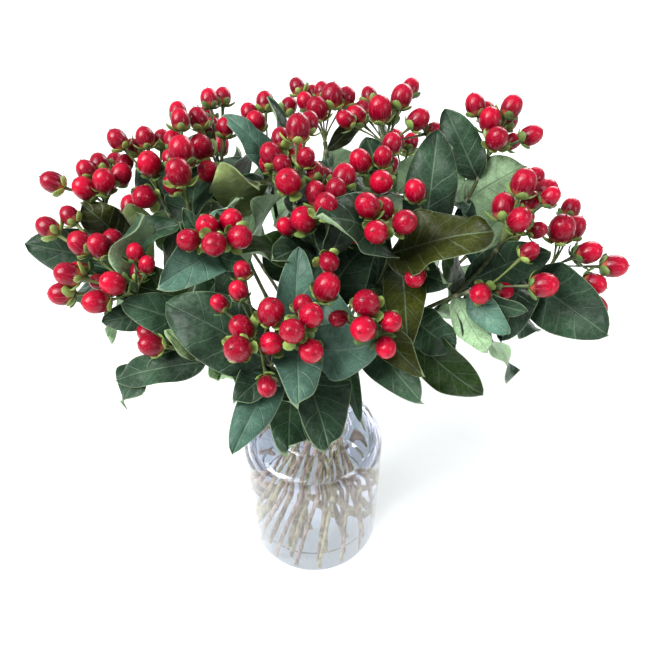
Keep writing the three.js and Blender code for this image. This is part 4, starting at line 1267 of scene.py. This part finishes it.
class BUNCH_OT_leaves(bpy.types.Operator):
    """Make the leaves of each stem"""

    bl_idname = "bunch.leaves"
    bl_label = "Leaves"

    def execute(self, context):
        settings = context.scene.bunch_leaves
        skin = leaf_skin(hex_of(settings.vein), hex_of(settings.rim))
        for i, head in enumerate(HEADS):
            if not head.leaves:
                raise RuntimeError(f"stem {head.number} has no leaves")
            join_to_stem(head)
            leaves = leaf_mesh(f"leaves_{head.number}", head.leaves, settings.thickness / MM,
                               settings.relief / MM, LEAF_SEED + i, skin)
            finished(leaves, "leaf_and_stem", f"leafy_stem_{head.number}")
        return {"FINISHED"}


class BUNCH_OT_berries(bpy.types.Operator):
    """Make the heads of berries: stalks, berries, sepals and styles"""

    bl_idname = "bunch.berries"
    bl_label = "Berry heads"

    def execute(self, context):
        settings = context.scene.bunch_berries
        patterns = {"Berry": berry_shape(), "Sepals": sepal_shape(), "Styles": style_shape()}
        values = {
            "Sides": settings.stalk_sides,
            "Stalk skin": fresh_skin("green_brown_stalk", hex_of(settings.stalk), "#3f4826"),
            "Sepal skin": fresh_skin("fresh_green_sepal", hex_of(settings.sepal), "#4c6a34"),
            "Berry skin": berry_skin(hex_of(settings.deep), hex_of(settings.bright)),
            "Style skin": dry_style(), **patterns}
        tree = head_tree()
        for i, head in enumerate(HEADS):
            piece = route_object(f"berries_{head.number}", stalk_routes(head, BERRY_SEED + i))
            settled(piece, tree, values)
            finished(piece, "berry", f"berry_head_{head.number}")
        for pattern in patterns.values():
            bpy.data.objects.remove(pattern)
        return {"FINISHED"}


FLOOR_TOP = 0.1  # a hair into the glass, so that no air shows under it
DAYLIGHT = "#f4f7ff"
LIT_PLACE = Vector((0, 0, 0.18))  # where the lights point, in metres
SENSOR_WIDTH = 36.0
LIGHTS = (  # name, kind, the setting that gives its power and how much of it, size, place in metres
    ("sky_above", "SUN", "sky", 1, math.radians(48), (-0.55, -0.3, 1.1)),
    ("window_left", "AREA", "window", 1, (0.45, 0.6), (-0.75, -0.35, 1.0)),
    ("window_right", "AREA", "window", 0.2, (0.3, 0.5), (0.8, -0.5, 0.7)),
    ("window_back", "AREA", "window", 0.5, (0.6, 0.4), (0.45, 0.75, 0.55)),
)


class BUNCH_OT_stage(bpy.types.Operator):
    """Make the floor, the lights and the camera"""

    bl_idname = "bunch.stage"
    bl_label = "Floor, lights and camera"

    def execute(self, context):
        settings = context.scene.bunch_stage
        half = settings.floor_size / MM / 2
        corners = [(x * half, y * half, FLOOR_TOP) for x, y in ((-1, -1), (1, -1), (1, 1), (-1, 1))]
        floor = mesh_object("floor", corners, [(0, 1, 2, 3)], [painted_board()])
        world = bpy.data.worlds.new("daylight")
        world.use_nodes = True
        world.node_tree.nodes.clear()
        sky = put(world.node_tree, "ShaderNodeBackground", {
            "Color": linear(DAYLIGHT), "Strength": settings.daylight})
        put(world.node_tree, "ShaderNodeOutputWorld", {"Surface": sky.outputs[0]})
        context.scene.world = world
        for name, kind, setting, part, size, place in LIGHTS:
            light = bpy.data.lights.new(name, kind)
            light.energy = getattr(settings, setting) * part
            if kind == "SUN":
                light.angle = size
            else:
                light.shape = "RECTANGLE"
                light.size, light.size_y = size
            lamp = bpy.data.objects.new(name, light)
            lamp.location = place
            lamp.rotation_euler = (LIT_PLACE - lamp.location).to_track_quat("-Z", "Y").to_euler()
            context.scene.collection.objects.link(lamp)
        view = bpy.data.cameras.new("camera")
        view.sensor_width = SENSOR_WIDTH
        view.lens = SENSOR_WIDTH * VIEW_FOCAL / VIEW_SIZE
        camera = bpy.data.objects.new("camera", view)
        camera.location = EYE * MM
        camera.rotation_euler = (math.pi / 2 - EYE_PITCH, 0, -EYE_TURN)
        context.scene.collection.objects.link(camera)
        context.scene.camera = camera
        context.scene.view_settings.view_transform = "Standard"
        return {"FINISHED"}


OPERATORS = (BUNCH_OT_vase, BUNCH_OT_stems, BUNCH_OT_leaves, BUNCH_OT_berries, BUNCH_OT_stage)
SETTINGS = {
    "bunch_vase": VaseSettings, "bunch_stems": StemSettings, "bunch_leaves": LeafSettings,
    "bunch_berries": BerrySettings, "bunch_stage": StageSettings,
}


class BUNCH_PT_panel(bpy.types.Panel):
    """Sizes and colours of the bunch, and a button for each group of pieces"""

    bl_idname = "BUNCH_PT_panel"
    bl_label = "Hypericum bunch"
    bl_space_type = "VIEW_3D"
    bl_region_type = "UI"
    bl_category = "Bunch"

    def draw(self, context):
        for operator, key in zip(OPERATORS, SETTINGS):
            box = self.layout.box()
            for name in SETTINGS[key].__annotations__:
                box.prop(getattr(context.scene, key), name)
            box.operator(operator.bl_idname)


def register():
    for item in (*SETTINGS.values(), *OPERATORS, BUNCH_PT_panel):
        bpy.utils.register_class(item)
    for key, group in SETTINGS.items():
        setattr(bpy.types.Scene, key, PointerProperty(type=group))


def unregister():
    for key in SETTINGS:
        delattr(bpy.types.Scene, key)
    for item in reversed((*SETTINGS.values(), *OPERATORS, BUNCH_PT_panel)):
        bpy.utils.unregister_class(item)


HEADS = lay_out()


def main():
    register()
    bpy.ops.bunch.vase()
    bpy.ops.bunch.stems()
    bpy.ops.bunch.leaves()
    bpy.ops.bunch.berries()
    bpy.ops.bunch.stage()


if __name__ == "__main__":
    main()
